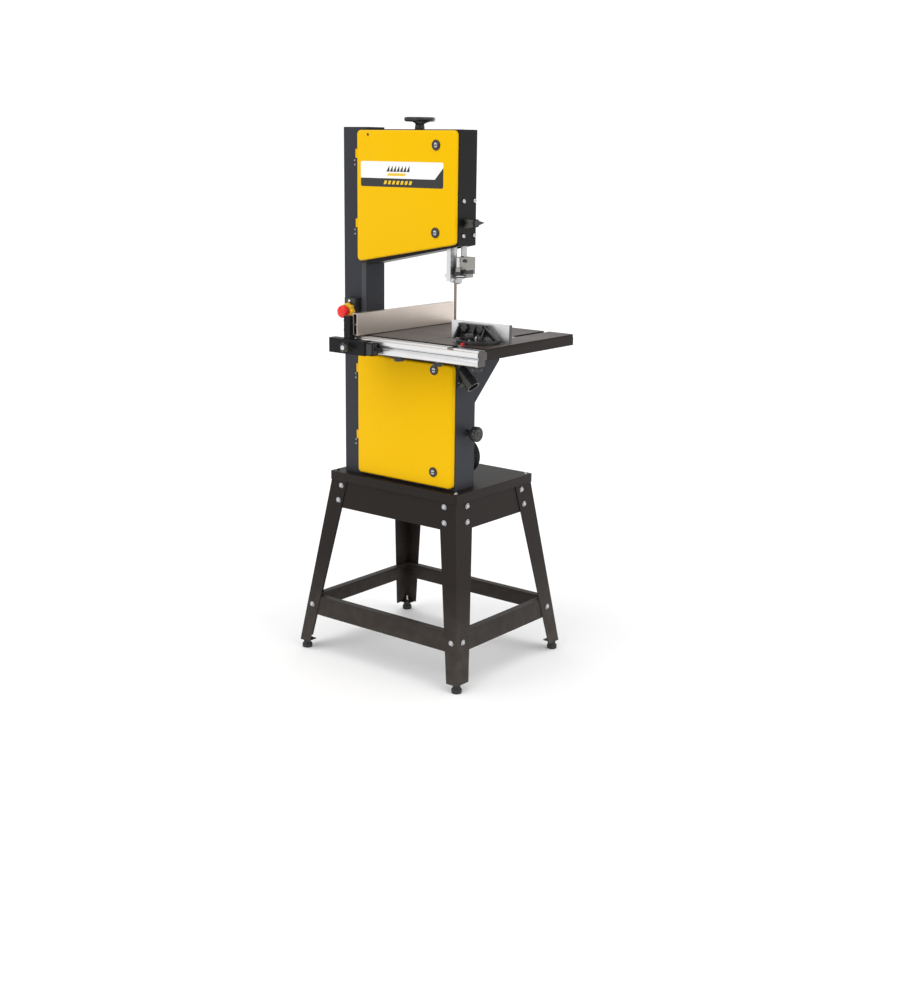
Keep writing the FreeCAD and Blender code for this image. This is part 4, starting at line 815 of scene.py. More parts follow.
def row_tree():
    """Bars in a straight row along +X, every fifth of them longer, as on a rule."""
    if "row" in made_trees:
        return made_trees["row"]
    tree, start, end = node_tree("Rule marks", {
        "Count": "NodeSocketInt", "Pitch": "NodeSocketFloat", "Mark": "NodeSocketVector",
        "Material": "NodeSocketMaterial"})
    offset = add_node(tree, "ShaderNodeCombineXYZ", {"X": start.outputs["Pitch"]})
    line = add_node(tree, "GeometryNodeMeshLine", {
        "Count": start.outputs["Count"], "Offset": offset.outputs[0]}, mode="OFFSET")
    mark = add_node(tree, "GeometryNodeMeshCube", {"Size": start.outputs["Mark"]})
    index = add_node(tree, "GeometryNodeInputIndex").outputs[0]
    fifth = math_node(tree, "MODULO", index, 5.0)
    tall = math_node(tree, "ADD", 1.0, math_node(tree, "LESS_THAN", fifth, 0.5))
    stretch = add_node(tree, "ShaderNodeCombineXYZ", {"Y": tall}, in_0=1.0, in_2=1.0)
    laid = add_node(tree, "GeometryNodeInstanceOnPoints", {
        "Points": line.outputs[0], "Instance": mark.outputs[0], "Scale": stretch.outputs[0]})
    close_tree(tree, start, end, laid.outputs[0])
    made_trees["row"] = tree
    return tree


def rule_marks(name, start, count, pitch, mark, material):
    mesh = bpy.data.meshes.new(name)
    piece = run_tree(new_object(name, mesh), row_tree(), {
        "Count": count, "Pitch": pitch, "Mark": mark, "Material": material})
    piece.data.transform(Matrix.Translation(start))
    return piece


# ---------------------------------------------------------------- fasteners
DOME_HEIGHT = 4.6 * MM       # from a domed head's foot to its crown


def dome_head_mesh():
    """A domed bolt head on its washer, with the head's foot on the XY plane."""
    head, washer = size("bolt_width") / 2, size("washer_width") / 2
    return turning([(0, -1.5 * MM), (washer, -1.5 * MM), (washer, -0.2 * MM), (washer - 0.4 * MM, 0),
                    (head, 0), (head, 0.9 * MM), (head * 0.93, 2.2 * MM), (head * 0.75, 3.5 * MM),
                    (head * 0.45, DOME_HEIGHT - 0.3 * MM), (0, DOME_HEIGHT)], steps=24)


def socket_head_mesh(width):
    """A small pan screw with a hexagon socket."""
    head = width / 2
    return turning([(0, -0.6 * MM), (head, -0.6 * MM), (head, head * 0.4), (head * 0.8, head * 0.62),
                    (head * 0.45, head * 0.66), (head * 0.42, head * 0.1), (0, head * 0.1)], steps=18)


def hex_mesh(radius, height):
    """A hexagon nut with chamfered corners."""
    return turning([(0, 0), (radius * 0.94, 0), (radius, height * 0.12), (radius, height * 0.86),
                    (radius * 0.9, height), (0, height)], steps=6)


def bolt_spots(node, lowest=0.0):
    """Where a node's bolts stand above a height: the seat of each head and the way it faces."""
    spots = []
    for low, high in islands(node):
        span = high - low
        axis = max(range(3), key=lambda i: span[i])
        if high.z < lowest:
            continue
        middle = (low + high) / 2
        facing = Vector((0, 0, 0))
        facing[axis] = 1.0 if axis == 2 or middle[axis] > 0 else -1.0
        seat = middle.copy()
        outer = high[axis] if facing[axis] > 0 else low[axis]
        seat[axis] = outer - facing[axis] * DOME_HEIGHT
        spots.append((seat, facing))
    return spots


# ---------------------------------------------------------------- the pieces
def build_stand():
    bend = size("sheet_bend")
    for node in ("stand_top_plate", "stand_legs", "stand_aprons", "stand_braces"):
        softened(node, node.replace("stand_", "stand_sheet_"), stand_paint(), "stand_paint", bend, 3)


def build_stand_bolts():
    """Leg bolts, plate-corner bolts and panel bolts, as one mesh."""
    leg_level = 70 * MM      # what lies below this is inside the feet
    spots = bolt_spots("stand_bolts", lowest=leg_level) + bolt_spots("body_bolts")
    heads = scattered("domed_bolts", dome_head_mesh(), spots, zinc())
    dress(heads, zinc(), "root", "bright_zinc", "stand_bolts", "body_bolts")


def build_feet():
    """Rubber feet with a stepped waist, bright studs and hexagon nuts."""
    feet, nuts, studs = [], [], []
    plate_low = min(low.z for low, high in islands("stand_legs"))
    for low, high in islands("levelling_feet"):
        x, y = (low.x + high.x) / 2, (low.y + high.y) / 2
        feet.append(turned_piece("foot", (x, y, 0), "z", [
            (0, 0), (13 * MM, 0), (14.6 * MM, 1.4 * MM), (15 * MM, 4 * MM), (15 * MM, 11 * MM),
            (14.2 * MM, 12.6 * MM), (11.4 * MM, 13.4 * MM), (11 * MM, 15 * MM), (11 * MM, 20.5 * MM),
            (10 * MM, 21.8 * MM), (0, 21.8 * MM)], steps=48))
        nuts.append((Vector((x, y, plate_low + 2.6 * MM)), Vector((0, 0, 1))))
        studs.append(turned_piece("stud", (x, y, 0), "z", [
            (0, 21 * MM), (4 * MM, 21 * MM), (4 * MM, 44.5 * MM), (3.4 * MM, 45.8 * MM),
            (0, 45.8 * MM)], steps=24))
    dress(joined("rubber_feet", feet), rubber(), "root", "rubber", "levelling_feet")
    dress(joined("foot_studs", studs), zinc(), "root", "bright_zinc")
    nut_field = scattered("foot_nuts", hex_mesh(7.6 * MM, 6 * MM), nuts, zinc())
    dress(nut_field, zinc(), "root", "bright_zinc")


def build_body():
    bend = size("sheet_bend")
    softened("column", "column_shell", frame_paint(), "frame_paint", bend, 3)
    softened("upper_housing", "upper_housing_shell", panel_paint(), "panel_paint", bend, 3)
    softened("lower_housing", "lower_housing_shell", frame_paint(), "frame_paint", bend, 3)
    softened("table_support", "table_support_bracket", frame_paint(), "frame_paint", bend, 2)
    low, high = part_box("column")
    foot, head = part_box("lower_housing")[1].z + 1 * MM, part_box("upper_housing")[0].z + 4 * MM
    strip = block("column_fold", (high.x - 19 * MM, low.y - 1.6 * MM, foot),
                  (high.x - 2.4 * MM, low.y + 0.5 * MM, head), 1.4 * MM, 3)
    # The fold strip's paint is a little lighter than the frame grey: a painted highlight along the lit
    # fold.
    fold_highlight_paint = painted("Fold paint", tinted(finish_colour("frame_grey"), 0.03), 0.32, scuffs=0.2)
    dress(strip, fold_highlight_paint, "root", "frame_paint")
    # A thin black sheet on the left of the fold: painted shade standing for the dark groove line there.
    groove_shade = block("column_seam", (high.x - 22.4 * MM, low.y - 0.1 * MM, foot),
                 (high.x - 19 * MM, low.y + 0.2 * MM, head), 0.05 * MM, 1)
    dress(groove_shade, rubber(), "root", "frame_paint")


def build_doors():
    """Folded doors with a pressed ring round each lock, a plain label and a small plug."""
    for door in ("upper_door", "lower_door"):
        step_up = size("door_slope") if door == "upper_door" else 0.0
        dress(door_skin(door, step_up), door_paint(), door, "door_paint", door)
        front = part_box(door)[0].y
        rings = []
        for place in ("top", "bottom"):
            low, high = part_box(f"{door}_lock_{place}")
            centre = Vector(((low.x + high.x) / 2, front, lock_height(door, place)))
            rings.append(turned_piece("ring", centre, "-y", [
                (14.3 * MM, -0.3 * MM), (14.6 * MM, 0.5 * MM), (15.6 * MM, 0.9 * MM),
                (17.4 * MM, 0.7 * MM), (19.6 * MM, -0.3 * MM)], closed=True, steps=64))
        dress(joined(door + "_lock_rings", rings), door_paint(), door, "door_paint")
    build_label()
    low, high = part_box("upper_door")
    dress(turned_piece("upper_door_screw", (low.x + 53 * MM, low.y, high.z - 12 * MM), "-y", [
        (0, -0.4 * MM), (3.6 * MM, -0.4 * MM), (3.6 * MM, 0.8 * MM), (2.6 * MM, 1.6 * MM),
        (1.2 * MM, 1.7 * MM), (1.0 * MM, 0.6 * MM), (0, 0.6 * MM)], steps=24),
        black_plastic(), "upper_door", "knob_plastic")


def lock_height(door, place):
    """The height of a lock's spindle, a head's radius in from the end that its cam leaves free."""
    low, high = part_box(f"{door}_lock_{place}")
    head_radius = 13.5 * MM
    return high.z - head_radius if place == "top" else low.z + head_radius


def build_label():
    """A plain two-tone label: pale above, a dark band below that rises at the right."""
    low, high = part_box("upper_door")
    left, right = low.x + 27 * MM, high.x - 38 * MM
    base, top = high.z - 151.5 * MM, high.z - 83.5 * MM
    band, rise, corner = base + 23 * MM, base + 54 * MM, size("label_corner")
    thick = 0.25 * MM
    split = right - 29 * MM
    face = low.y
    white = slab("label_white", [
        (left, band), (split, band), (right, rise),
        *arc((right - corner, top - corner), corner, 0, 90, 4),
        *arc((left + corner, top - corner), corner, 90, 180, 4)], thick, (0, face, 0), "-y")
    dark = slab("label_dark", [
        *arc((left + corner, base + corner), corner, 180, 270, 4),
        *arc((right - corner, base + corner), corner, 270, 360, 4),
        (right, rise), (split, band), (left, band)], thick, (0, face, 0), "-y")
    ink = moulded("Label dark", (0.006, 0.006, 0.007), 0.26, worn=0.01, coat=0.3)
    yellow = moulded("Label yellow", (0.80, 0.52, 0.004), 0.3, worn=0.03)
    dress(white, moulded("Label white", (0.88, 0.88, 0.87), 0.28, worn=0.04, coat=0.3),
          "upper_door", "door_paint")
    dress(dark, ink, "upper_door", "door_paint")

    def mark(name, corners):
        """A printed shape, from corners in millimetres from the label's lower left."""
        outline = [(left + x * MM, base + z * MM) for x, z in corners]
        return slab(name, outline, 0.3 * MM, (0, face - 0.1 * MM, 0), "-y")

    repeats = 7
    teeth = [mark("tooth", [(x, 41), (x + 11, 41), (x + 11, 58)])
             for x in range(94, 94 + 12 * repeats, 12)]
    dashes = [mark("bar", [(96, 30), (160, 30), (166, 37), (102, 37)])]
    dashes += [mark("dash", [(x, 7), (x + 9, 7), (x + 13, 17), (x + 4, 17)])
               for x in range(84, 84 + 15 * repeats, 15)]
    dress(joined("label_teeth", teeth), ink, "upper_door", "door_paint")
    dress(joined("label_dashes", dashes), yellow, "upper_door", "door_paint")


def build_locks():
    """Black bezels with a bright slotted plug."""
    for door in ("upper_door", "lower_door"):
        for place in ("top", "bottom"):
            node = f"{door}_lock_{place}"
            softened(node, node + "_cam", black_plastic(), "knob_plastic", size("fine_edge"), 2)
            low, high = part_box(node)
            centre = Vector(((low.x + high.x) / 2, low.y, lock_height(door, place)))
            bezel = turned_piece(node + "_bezel", centre, "-y", [
                (7.6 * MM, -0.4 * MM), (7.8 * MM, 0.3 * MM), (9.2 * MM, 0.7 * MM),
                (11.6 * MM, 0.5 * MM), (13.2 * MM, -0.4 * MM)], closed=True, steps=48)
            dress(bezel, black_plastic(), node, "knob_plastic")
            halves = []
            for side in (-1, 1):
                outline = arc((0, 0), 6.4 * MM, 12 if side > 0 else 192, 168 if side > 0 else 348, 18)
                halves.append(slab("plug", outline, 0.9 * MM, centre, "-y", 0.2 * MM))
            plug = joined(node + "_plug", halves)
            dress(plug, zinc(), node, "bright_zinc")


def build_hinges():
    softened("hinge_frame_leaves", "hinge_leaves", frame_paint(), "frame_paint", size("fine_edge"), 2)
    spots = []
    for low, high in islands("hinge_frame_leaves"):
        for share in (0.25, 0.75):
            z = low.z + (min(high.z, low.z + 24 * MM) - low.z) * share
            seat = Vector((low.x + 7 * MM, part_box("column")[0].y - 1.7 * MM, z))
            spots.append((seat, Vector((0, -1, 0))))
    screws = scattered("hinge_screws", socket_head_mesh(5 * MM), spots, zinc())
    dress(screws, zinc(), "root", "bright_zinc")


def build_wheels():
    edge = size("cast_edge")
    for level in ("upper", "lower"):
        softened(f"{level}_wheel", f"{level}_wheel_casting", wheel_alloy(), "wheel_alloy", edge, 2)
        softened(f"{level}_tyre", f"{level}_tyre_band", rubber(), "rubber", size("fine_edge"), 2)
        softened(f"{level}_bearings", f"{level}_ball_bearings", turned_steel(), "steel",
                 size("fine_edge"), 2)
    softened("lower_spindle", "lower_spindle_shaft", turned_steel(), "steel", size("fine_edge"), 2)


def loop_point(distance, radius, low, high, centre_x):
    """A place on the blade's loop, and its outward direction, at a distance round it."""
    straight = high - low
    half = math.pi * radius
    distance %= 2 * (straight + half)
    if distance < straight:
        return Vector((centre_x + radius, 0, low + distance)), Vector((1, 0, 0))
    distance -= straight
    if distance < half:
        way = Vector((math.cos(distance / radius), 0, math.sin(distance / radius)))
        return Vector((centre_x, 0, high)) + way * radius, way
    distance -= half
    if distance < straight:
        return Vector((centre_x - radius, 0, high - distance)), Vector((-1, 0, 0))
    distance -= straight
    way = Vector((-math.cos(distance / radius), 0, -math.sin(distance / radius)))
    return Vector((centre_x, 0, low)) + way * radius, way


def build_blade():
    """The endless blade with its set teeth along the front edge."""
    low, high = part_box("saw_blade")
    outer = (high.x - low.x) / 2
    centre_x = (high.x + low.x) / 2
    thick = 0.6 * MM
    radius = outer - thick / 2
    lower_axis, upper_axis = low.z + outer, high.z - outer
    whole = 2 * (upper_axis - lower_axis + math.pi * radius)
    count = round(whole / size("tooth_pitch"))
    depth = size("tooth_depth")
    work = bmesh.new()
    rows = []
    for step in range(count * 2):
        place, way = loop_point(whole * step / (count * 2), radius, lower_axis, upper_axis, centre_x)
        front = low.y + (0.05 * MM if step % 2 == 0 else depth)
        row = []
        for y, side in ((high.y, -1), (high.y, 1), (front, 1), (front, -1)):
            spot = place + way * (side * thick / 2 * 0.9)
            row.append(work.verts.new((spot.x, y, spot.z)))
        rows.append(row)
    for first, second in zip(rows, rows[1:] + rows[:1]):
        wall(work, first, second)
    mesh = closed_mesh("blade_band", work)
    smooth_by_angle(mesh, 30)
    dress(new_object("blade_band", mesh), blade_steel(), "root", "blade_steel", "saw_blade")


def build_drive():
    edge = size("cast_edge")
    softened("motor_body", "motor_casing", cast_paint(), "motor_paint", edge, 2)
    softened("motor_pulley", "motor_pulley_wheel", wheel_alloy(), "wheel_alloy", size("fine_edge"), 2)
    softened("drive_belt", "drive_belt_loop", rubber(), "rubber", size("fine_edge"), 2)
    low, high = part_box("motor_pulley")
    centre_x, centre_z = (low.x + high.x) / 2, (low.z + high.z) / 2
    start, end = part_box("lower_housing")[1].y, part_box("motor_body")[1].y
    ribs = ring_of_bars("motor_ribs", (centre_x, (start + end) / 2 - 7 * MM, centre_z), "y",
                        size("motor_ribs"), 51.3 * MM, (3.0 * MM, 1.6 * MM, end - start - 46 * MM),
                        cast_paint())
    dress(ribs, cast_paint(), "root", "motor_paint")
    vents = ring_of_bars("motor_vents", (centre_x, end + 0.1 * MM, centre_z), "y", 24, 30 * MM,
                         (14 * MM, 2.2 * MM, 0.4 * MM), rubber())
    dress(vents, rubber(), "root", "motor_paint")


def build_belt_knob():
    """Round knob with shallow flutes and a ringed face, on a waisted neck."""
    low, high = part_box("belt_knob")
    centre = Vector((high.x - 44 * MM, (low.y + high.y) / 2, (low.z + high.z) / 2))
    edge = (high.z - low.z) / 2 - 0.4 * MM
    knob = turned_piece("belt_knob_grip", centre, "x", [
        (0, 0, 0), (10 * MM, 0, 0), (8 * MM, 10 * MM, 0), (8.5 * MM, 18 * MM, 0), (15 * MM, 21 * MM, 0),
        (edge - 1.6 * MM, 22.5 * MM), (edge, 25 * MM), (edge, 38 * MM), (edge - 1.4 * MM, 41.4 * MM),
        (edge - 4 * MM, 43.2 * MM, 0.2), (edge - 6.5 * MM, 43.4 * MM, 0), (edge - 7.6 * MM, 41.6 * MM, 0),
        (8.4 * MM, 41.6 * MM, 0), (7.8 * MM, 43 * MM, 0), (0, 43.2 * MM, 0)],
        lobes=16, depth=1.5 * MM, steps=128, power=1.2)
    dress(knob, black_plastic(), "belt_knob", "knob_plastic", "belt_knob")
    ring = turned_piece("belt_knob_ring", centre, "x", [
        (edge - 11.5 * MM, 41.3 * MM), (edge - 11.5 * MM, 42.0 * MM), (edge - 8.2 * MM, 42.0 * MM),
        (edge - 8.2 * MM, 41.3 * MM)], closed=True, steps=64)
    dress(ring, end_plastic(), "belt_knob", "knob_plastic")


def build_tension():
    """Lobed handwheel on sloping spokes, its screw, the slide and the tracking knob."""
    low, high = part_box("tension_handwheel")
    centre = sum(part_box("tension_screw"), Vector((0, 0, 0))) / 2
    centre.z = high.z
    edge = (high.x - low.x) / 2 - 0.2 * MM
    rim = turned_piece("rim", centre, "z", [
        (edge - 8 * MM, -3.5 * MM, 0), (edge - 6.5 * MM, -1.2 * MM, 0.1), (edge - 3.4 * MM, 0, 0.4),
        (edge - 1 * MM, -1.2 * MM), (edge, -4 * MM), (edge, -8 * MM), (edge - 1.4 * MM, -10.8 * MM),
        (edge - 4.4 * MM, -11.9 * MM, 0.4), (edge - 7 * MM, -10.6 * MM, 0.1), (edge - 8 * MM, -8 * MM, 0)],
        lobes=6, depth=2.6 * MM, steps=144, closed=True)
    deep = high.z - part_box("upper_housing")[1].z
    hub = turned_piece("hub", centre, "z", [
        (0, 0.6 * MM - deep), (13.4 * MM, 0.6 * MM - deep), (13.8 * MM, 3 * MM - deep),
        (12.6 * MM, -20 * MM), (10.6 * MM, -15 * MM), (10.4 * MM, -9 * MM),
        (9.4 * MM, -7.2 * MM), (0, -6.4 * MM)], steps=48)
    spokes = []
    for step in range(3):
        angle = math.radians(120 * step + 30)
        spokes.append(spoke_mesh(centre, angle, edge - 6 * MM))
    wheel = joined("tension_wheel", [rim, hub, *spokes])
    dress(wheel, black_plastic(), "tension_screw", "matte_plastic", "tension_handwheel")
    fine = size("fine_edge")
    softened("tension_screw", "tension_screw_thread", turned_steel(), "steel", fine, 2)
    softened("tension_slide", "tension_slide_plate", cast_paint(), "cast_iron", fine, 2)
    softened("tilt_plate", "tilt_plate_spindle", turned_steel(), "steel", fine, 2)
    lobed_knob("tracking_knob", "y", 6)


def spoke_mesh(centre, angle, reach_out):
    """One broad spoke, rising from hub to rim."""
    across = Vector((-math.sin(angle), math.cos(angle), 0))
    along = Vector((math.cos(angle), math.sin(angle), 0))
    work = bmesh.new()
    rings = []
    sections = ((7, 7.5, -21, -12), (20, 5.5, -14.5, -8), (reach_out / MM, 7, -10, -4))
    for reach, half, low, high in sections:      # all in millimetres
        ring = []
        for side, z in ((-1, low), (1, low), (1, high), (-1, high)):
            spot = centre + along * (reach * MM) + across * (side * half * MM)
            ring.append(work.verts.new((spot.x, spot.y, centre.z + z * MM)))
        rings.append(ring)
    for first, second in zip(rings, rings[1:]):
        wall(work, first, second)
    work.faces.new(rings[0])
    work.faces.new(rings[-1])
    return round_off(new_object("spoke", closed_mesh("spoke", work)), 1.2 * MM, 2)


def lobed_knob(node, axis, lobes, cap=None):
    """A clamp knob with finger lobes and its bright stud, in the place of a frame node."""
    low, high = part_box(node)
    index = "xyz".index(axis[-1])
    others = [i for i in range(3) if i != index]
    outward = -1 if axis.startswith("-") else 1
    radius = max(high[i] - low[i] for i in others) / 2
    tip = high[index] if outward > 0 else low[index]
    centre = (low + high) / 2
    centre[index] = tip - outward * 16 * MM
    knob = turned_piece(node + "_grip", centre, axis, [
        (0, 0, 0), (radius * 0.55, 0, 0), (radius * 0.86, 1.2 * MM), (radius, 3.4 * MM),
        (radius, 11.5 * MM), (radius * 0.93, 14 * MM), (radius * 0.7, 15.6 * MM, 0.4),
        (radius * 0.5, (15.0 if cap else 15.9) * MM, 0), (0, (15.0 if cap else 16.0) * MM, 0)],
        lobes=lobes, depth=radius * 0.16, steps=96, power=1.3)
    dress(knob, black_plastic(), frame_body(node), "knob_plastic", node)
    depth = abs((low[index] if outward > 0 else high[index]) - centre[index])
    stud = turned_piece(node + "_stud", centre, axis, [
        (0, -depth), (3.9 * MM, -depth), (3.9 * MM, 0.5 * MM), (0, 0.5 * MM)], steps=24)
    dress(stud, turned_steel(), frame_body(node), "steel")
    if cap:
        disc = turned_piece(node + "_cap", centre, axis, [
            (0, 14.9 * MM), (radius * 0.46, 14.9 * MM), (radius * 0.46, 15.6 * MM),
            (radius * 0.4, 15.9 * MM), (0, 15.9 * MM)], steps=32)
        dress(disc, cap, frame_body(node), "bright_zinc")


def build_guides():
    """The guide post and its holder, clamp block, rollers, guard, lower guide and wing knob."""
    edge = size("fine_edge")
    softened("guide_post_holder", "post_holder", cast_paint(), "cast_iron", size("cast_edge"), 2)
    softened("guide_post", "guide_post_bar", turned_steel(), "steel", edge, 2)
    softened("guide_block", "guide_clamp", guide_alloy(), "guard_metal", 0.9 * MM, 3)
    softened("guide_bearings", "guide_rollers", turned_steel(), "steel", edge, 2)
    softened("blade_guard", "guard_channel", satin_silver(), "guard_metal", 0.3 * MM, 2)
    softened("lower_guide", "lower_guide_block", cast_paint(), "cast_iron", edge, 2)
    softened("guide_knob", "guide_wing_knob", black_plastic(), "knob_plastic", 1.5 * MM, 3)
    post = (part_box("guide_post")[0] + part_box("guide_post")[1]) / 2
    low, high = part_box("guide_block")
    cam = Vector((post.x - 8.5 * MM, post.y - 12.6 * MM, 0))
    dress(turned_piece("guide_cam", cam, "z", [
        (0, high.z - 28 * MM), (6.4 * MM, high.z - 28 * MM), (6.4 * MM, high.z - 1.2 * MM),
        (5.4 * MM, high.z - 0.2 * MM), (0, high.z - 0.2 * MM)], steps=32),
        satin_silver(), "guide_post", "guard_metal")
    dress(turned_piece("guide_collar", cam, "z", [
        (0, high.z - 38 * MM), (7.6 * MM, high.z - 38 * MM), (8.2 * MM, high.z - 37 * MM),
        (8.2 * MM, high.z - 29 * MM), (7.4 * MM, high.z - 28 * MM), (0, high.z - 28 * MM)], steps=32),
        black_plastic(), "guide_post", "knob_plastic")
    foot = block("guide_foot", (post.x - 14.4 * MM, post.y - 13.6 * MM, low.z + 11 * MM),
                 (post.x + 22.6 * MM, post.y + 16 * MM, low.z + 22 * MM), 1.2 * MM, 3)
    dress(foot, black_plastic(), "guide_post", "knob_plastic")
    arm = block("guide_arm", (post.x - 20 * MM, post.y - 21 * MM, low.z + 9 * MM),
                (post.x + 6 * MM, post.y - 8 * MM, low.z + 18 * MM), 1.6 * MM, 3)
    dress(arm, black_plastic(), "guide_post", "knob_plastic")
    discs = []
    for z, radius in ((low.z + 3 * MM, 13.2), (low.z - 3.6 * MM, 12.2)):
        discs.append(turned_piece("disc", Vector((post.x - 5 * MM, post.y - 7.4 * MM, z)), "z", [
            (0, 0), ((radius - 0.5) * MM, 0), (radius * MM, 0.5 * MM), (radius * MM, 3 * MM),
            ((radius - 0.5) * MM, 3.4 * MM), (0, 3.4 * MM)], steps=64))
    dress(joined("guide_discs", discs), satin_silver(), "guide_post", "guard_metal")
    spots = [(Vector((post.x + 13 * MM, post.y - 13 * MM, z)), Vector((0, -1, 0)))
             for z in (high.z - 9 * MM, high.z - 36 * MM)]
    spots.append((Vector((post.x + 2 * MM, post.y - 8 * MM, high.z)), Vector((0, 0, 1))))
    screws = scattered("guide_screws", socket_head_mesh(9 * MM), spots, black_plastic())
    dress(screws, black_plastic(), "guide_post", "knob_plastic")
    bar = block("guide_screw_bar", (post.x + 9 * MM, post.y - 18 * MM, high.z - 13 * MM),
                (post.x + 21 * MM, post.y - 13 * MM, high.z - 6 * MM), 1.0 * MM, 2)
    dress(bar, black_plastic(), "guide_post", "knob_plastic")
    low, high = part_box("blade_guard")
    # A thin black sheet down the guard's side: painted shade standing for the dark inside of a slit.
    slit_shade = block("guard_slit", (high.x - 0.3 * MM, low.y + 1.4 * MM, low.z + 0.5 * MM),
                 (high.x + 0.05 * MM, low.y + 3.2 * MM, high.z - 0.5 * MM), 0.04 * MM, 1)
    dress(slit_shade, rubber(), "guide_post", "guard_metal")
    dress(turned_piece("guard_lug", (low.x - 2 * MM, low.y + 0.1 * MM, low.z + 15 * MM), "y", [
        (0, 0), (5.2 * MM, 0), (5.2 * MM, 2.4 * MM), (0, 2.4 * MM)], steps=32),
        satin_silver(), "guide_post", "guard_metal")


def build_table():
    """The ground table, its insert, trunnions and the base they tilt on."""
    softened("table", "table_top", table_iron(), "ground_iron", 0.7 * MM, 2)
    softened("table_insert", "table_insert_disc", insert_plastic(), "insert_plastic", 0.3 * MM, 2)
    softened("table_trunnion", "trunnion_segments", cast_paint(), "cast_iron", size("cast_edge"), 2)
    softened("trunnion_base", "trunnion_cradle", cast_paint(), "cast_iron", size("cast_edge"), 2)
    lobed_knob("tilt_lock", "y", 6)
    low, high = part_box("table_trunnion")
    spots = []
    for y in (low.y + 8 * MM, high.y - 8 * MM):
        for x in (low.x + 12 * MM, high.x - 12 * MM):
            spots.append((Vector((x, y + 8.2 * MM, high.z - 9 * MM)), Vector((0, 1, 0))))
    bolts = scattered("trunnion_bolts", socket_head_mesh(9 * MM), spots, zinc())
    dress(bolts, zinc(), "table", "bright_zinc")


def build_rail():
    """The front rail, its end caps, painted shade in its grooves, rule and the knobs under it."""
    low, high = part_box("fence_rail")
    cap = 2 * MM
    mesh = merged_copy("fence_rail")
    near = 20 * FINE      # vertices this near an end of the rail lie on it
    for vertex in mesh.vertices:
        if vertex.co.x < low.x + near:
            vertex.co.x += cap
        elif vertex.co.x > high.x - near:
            vertex.co.x -= cap
    smooth_by_angle(mesh)
    dress(round_off(new_object("front_rail", mesh), 0.5 * MM, 2), rail_aluminium(),
          "table", "extrusion", "fence_rail")
    caps = [slab("cap", rail_outline(), cap + 0.3 * MM, (start, 0, 0), "x", 0.3 * MM)
            for start in (low.x, high.x - cap - 0.3 * MM)]
    dress(joined("rail_end_caps", caps), end_plastic(), "table", "extrusion")
    build_slot_mouth()
    # Thin dark strips at the bottom of the rail's grooves: painted shade standing for the shadow inside
    # each groove.
    grooves = []
    for z, height, depth in ((high.z - 9 * MM, 1.1 * MM, 0.25 * MM),
                             (low.z + 20.8 * MM, 1.8 * MM, 4.05 * MM),
                             (low.z + 5 * MM, 1.1 * MM, 0.25 * MM)):
        grooves.append(block("groove", (low.x + 2.2 * MM, low.y + depth - 0.1 * MM, z - height / 2),
                             (high.x - 2.2 * MM, low.y + depth, z + height / 2), 0.05 * MM, 1))
    dress(joined("rail_grooves", grooves), metal("Groove shadow", (0.12, 0.12, 0.12), 0.5),
          "table", "extrusion")
    knobs, stems = [], []
    for start, end in islands("rail_knobs"):
        centre = Vector(((start.x + end.x) / 2, (start.y + end.y) / 2, start.z + 11 * MM))
        knobs.append(turned_piece("knob", centre, "-z", [
            (0, 0, 0), (8 * MM, 0, 0), (12.8 * MM, 1 * MM), (14.4 * MM, 3 * MM), (14.4 * MM, 8 * MM),
            (13 * MM, 10.4 * MM), (9 * MM, 11 * MM, 0.3), (0, 11 * MM, 0)],
            lobes=8, depth=2.2 * MM, steps=96))
        stems.append(turned_piece("stem", centre, "z", [
            (0, -1 * MM), (5 * MM, -1 * MM), (5 * MM, end.z - centre.z), (0, end.z - centre.z)], steps=24))
    dress(joined("rail_knob_grips", knobs), black_plastic(), "table", "knob_plastic", "rail_knobs")
    dress(joined("rail_knob_stems", stems), turned_steel(), "table", "steel")
    ink = moulded("Rule ink", (0.012, 0.012, 0.012), 0.4)
    marks = rule_marks("rail_rule", (low.x + 77 * MM, low.y + 13 * MM, high.z + 0.04 * MM), 76, 5 * MM,
                       (0.5 * MM, 3.0 * MM, 0.1 * MM), ink)
    dress(marks, ink, "table", "extrusion")


def rail_outline():
    """The rail's section as an outline for a slab that faces along X."""
    low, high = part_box("fence_rail")
    middle = low.y + 30 * MM
    corners = [(middle, 0), (low.y + 2 * MM, 0), (low.y, 2), (low.y, 16), (low.y + 4 * MM, 19),
               (low.y + 4 * MM, 23), (low.y, 25), (low.y, 36), (low.y + 4 * MM, 38), (low.y + 4 * MM, 42),
               (middle, 42), (middle, 36), (high.y, 36), (high.y, 16), (middle, 16)]
    return [(-(low.z + z * MM), y) for y, z in corners]


def build_slot_mouth():
    """A bright edge round the notch where the gauge's bar enters the rail, and a dark sheet of painted
    shadow on the notch's floor.
    """
    bar_low, bar_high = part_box("mitre_bar")
    low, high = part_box("fence_rail")
    centre = (bar_low.x + bar_high.x) / 2
    front, seat = low.y + 4 * MM, high.z - 4.6 * MM
    edges = [block("edge", (centre - 12 * MM, front - 0.5 * MM, seat - 1.5 * MM),
                   (centre + 12 * MM, front + 0.4 * MM, seat), 0.2 * MM, 1)]
    for side in (-1, 1):
        inner, outer = centre + side * 10.4 * MM, centre + side * 12 * MM
        edges.append(block("edge", (min(inner, outer), front - 0.5 * MM, seat - 0.4 * MM),
                           (max(inner, outer), front + 0.4 * MM, high.z - 0.1 * MM), 0.2 * MM, 1))
    dress(joined("slot_mouth", edges), satin_silver(), "table", "extrusion")
    # A thin black sheet on the notch's floor: painted shadow inside the notch.
    slot_shade = block("slot_shadow", (centre - 10 * MM, front + 1 * MM, seat + 0.1 * MM),
                 (centre + 10 * MM, front + 5 * MM, seat + 0.5 * MM), 0.1 * MM, 1)
    dress(slot_shade, rubber(), "table", "extrusion")


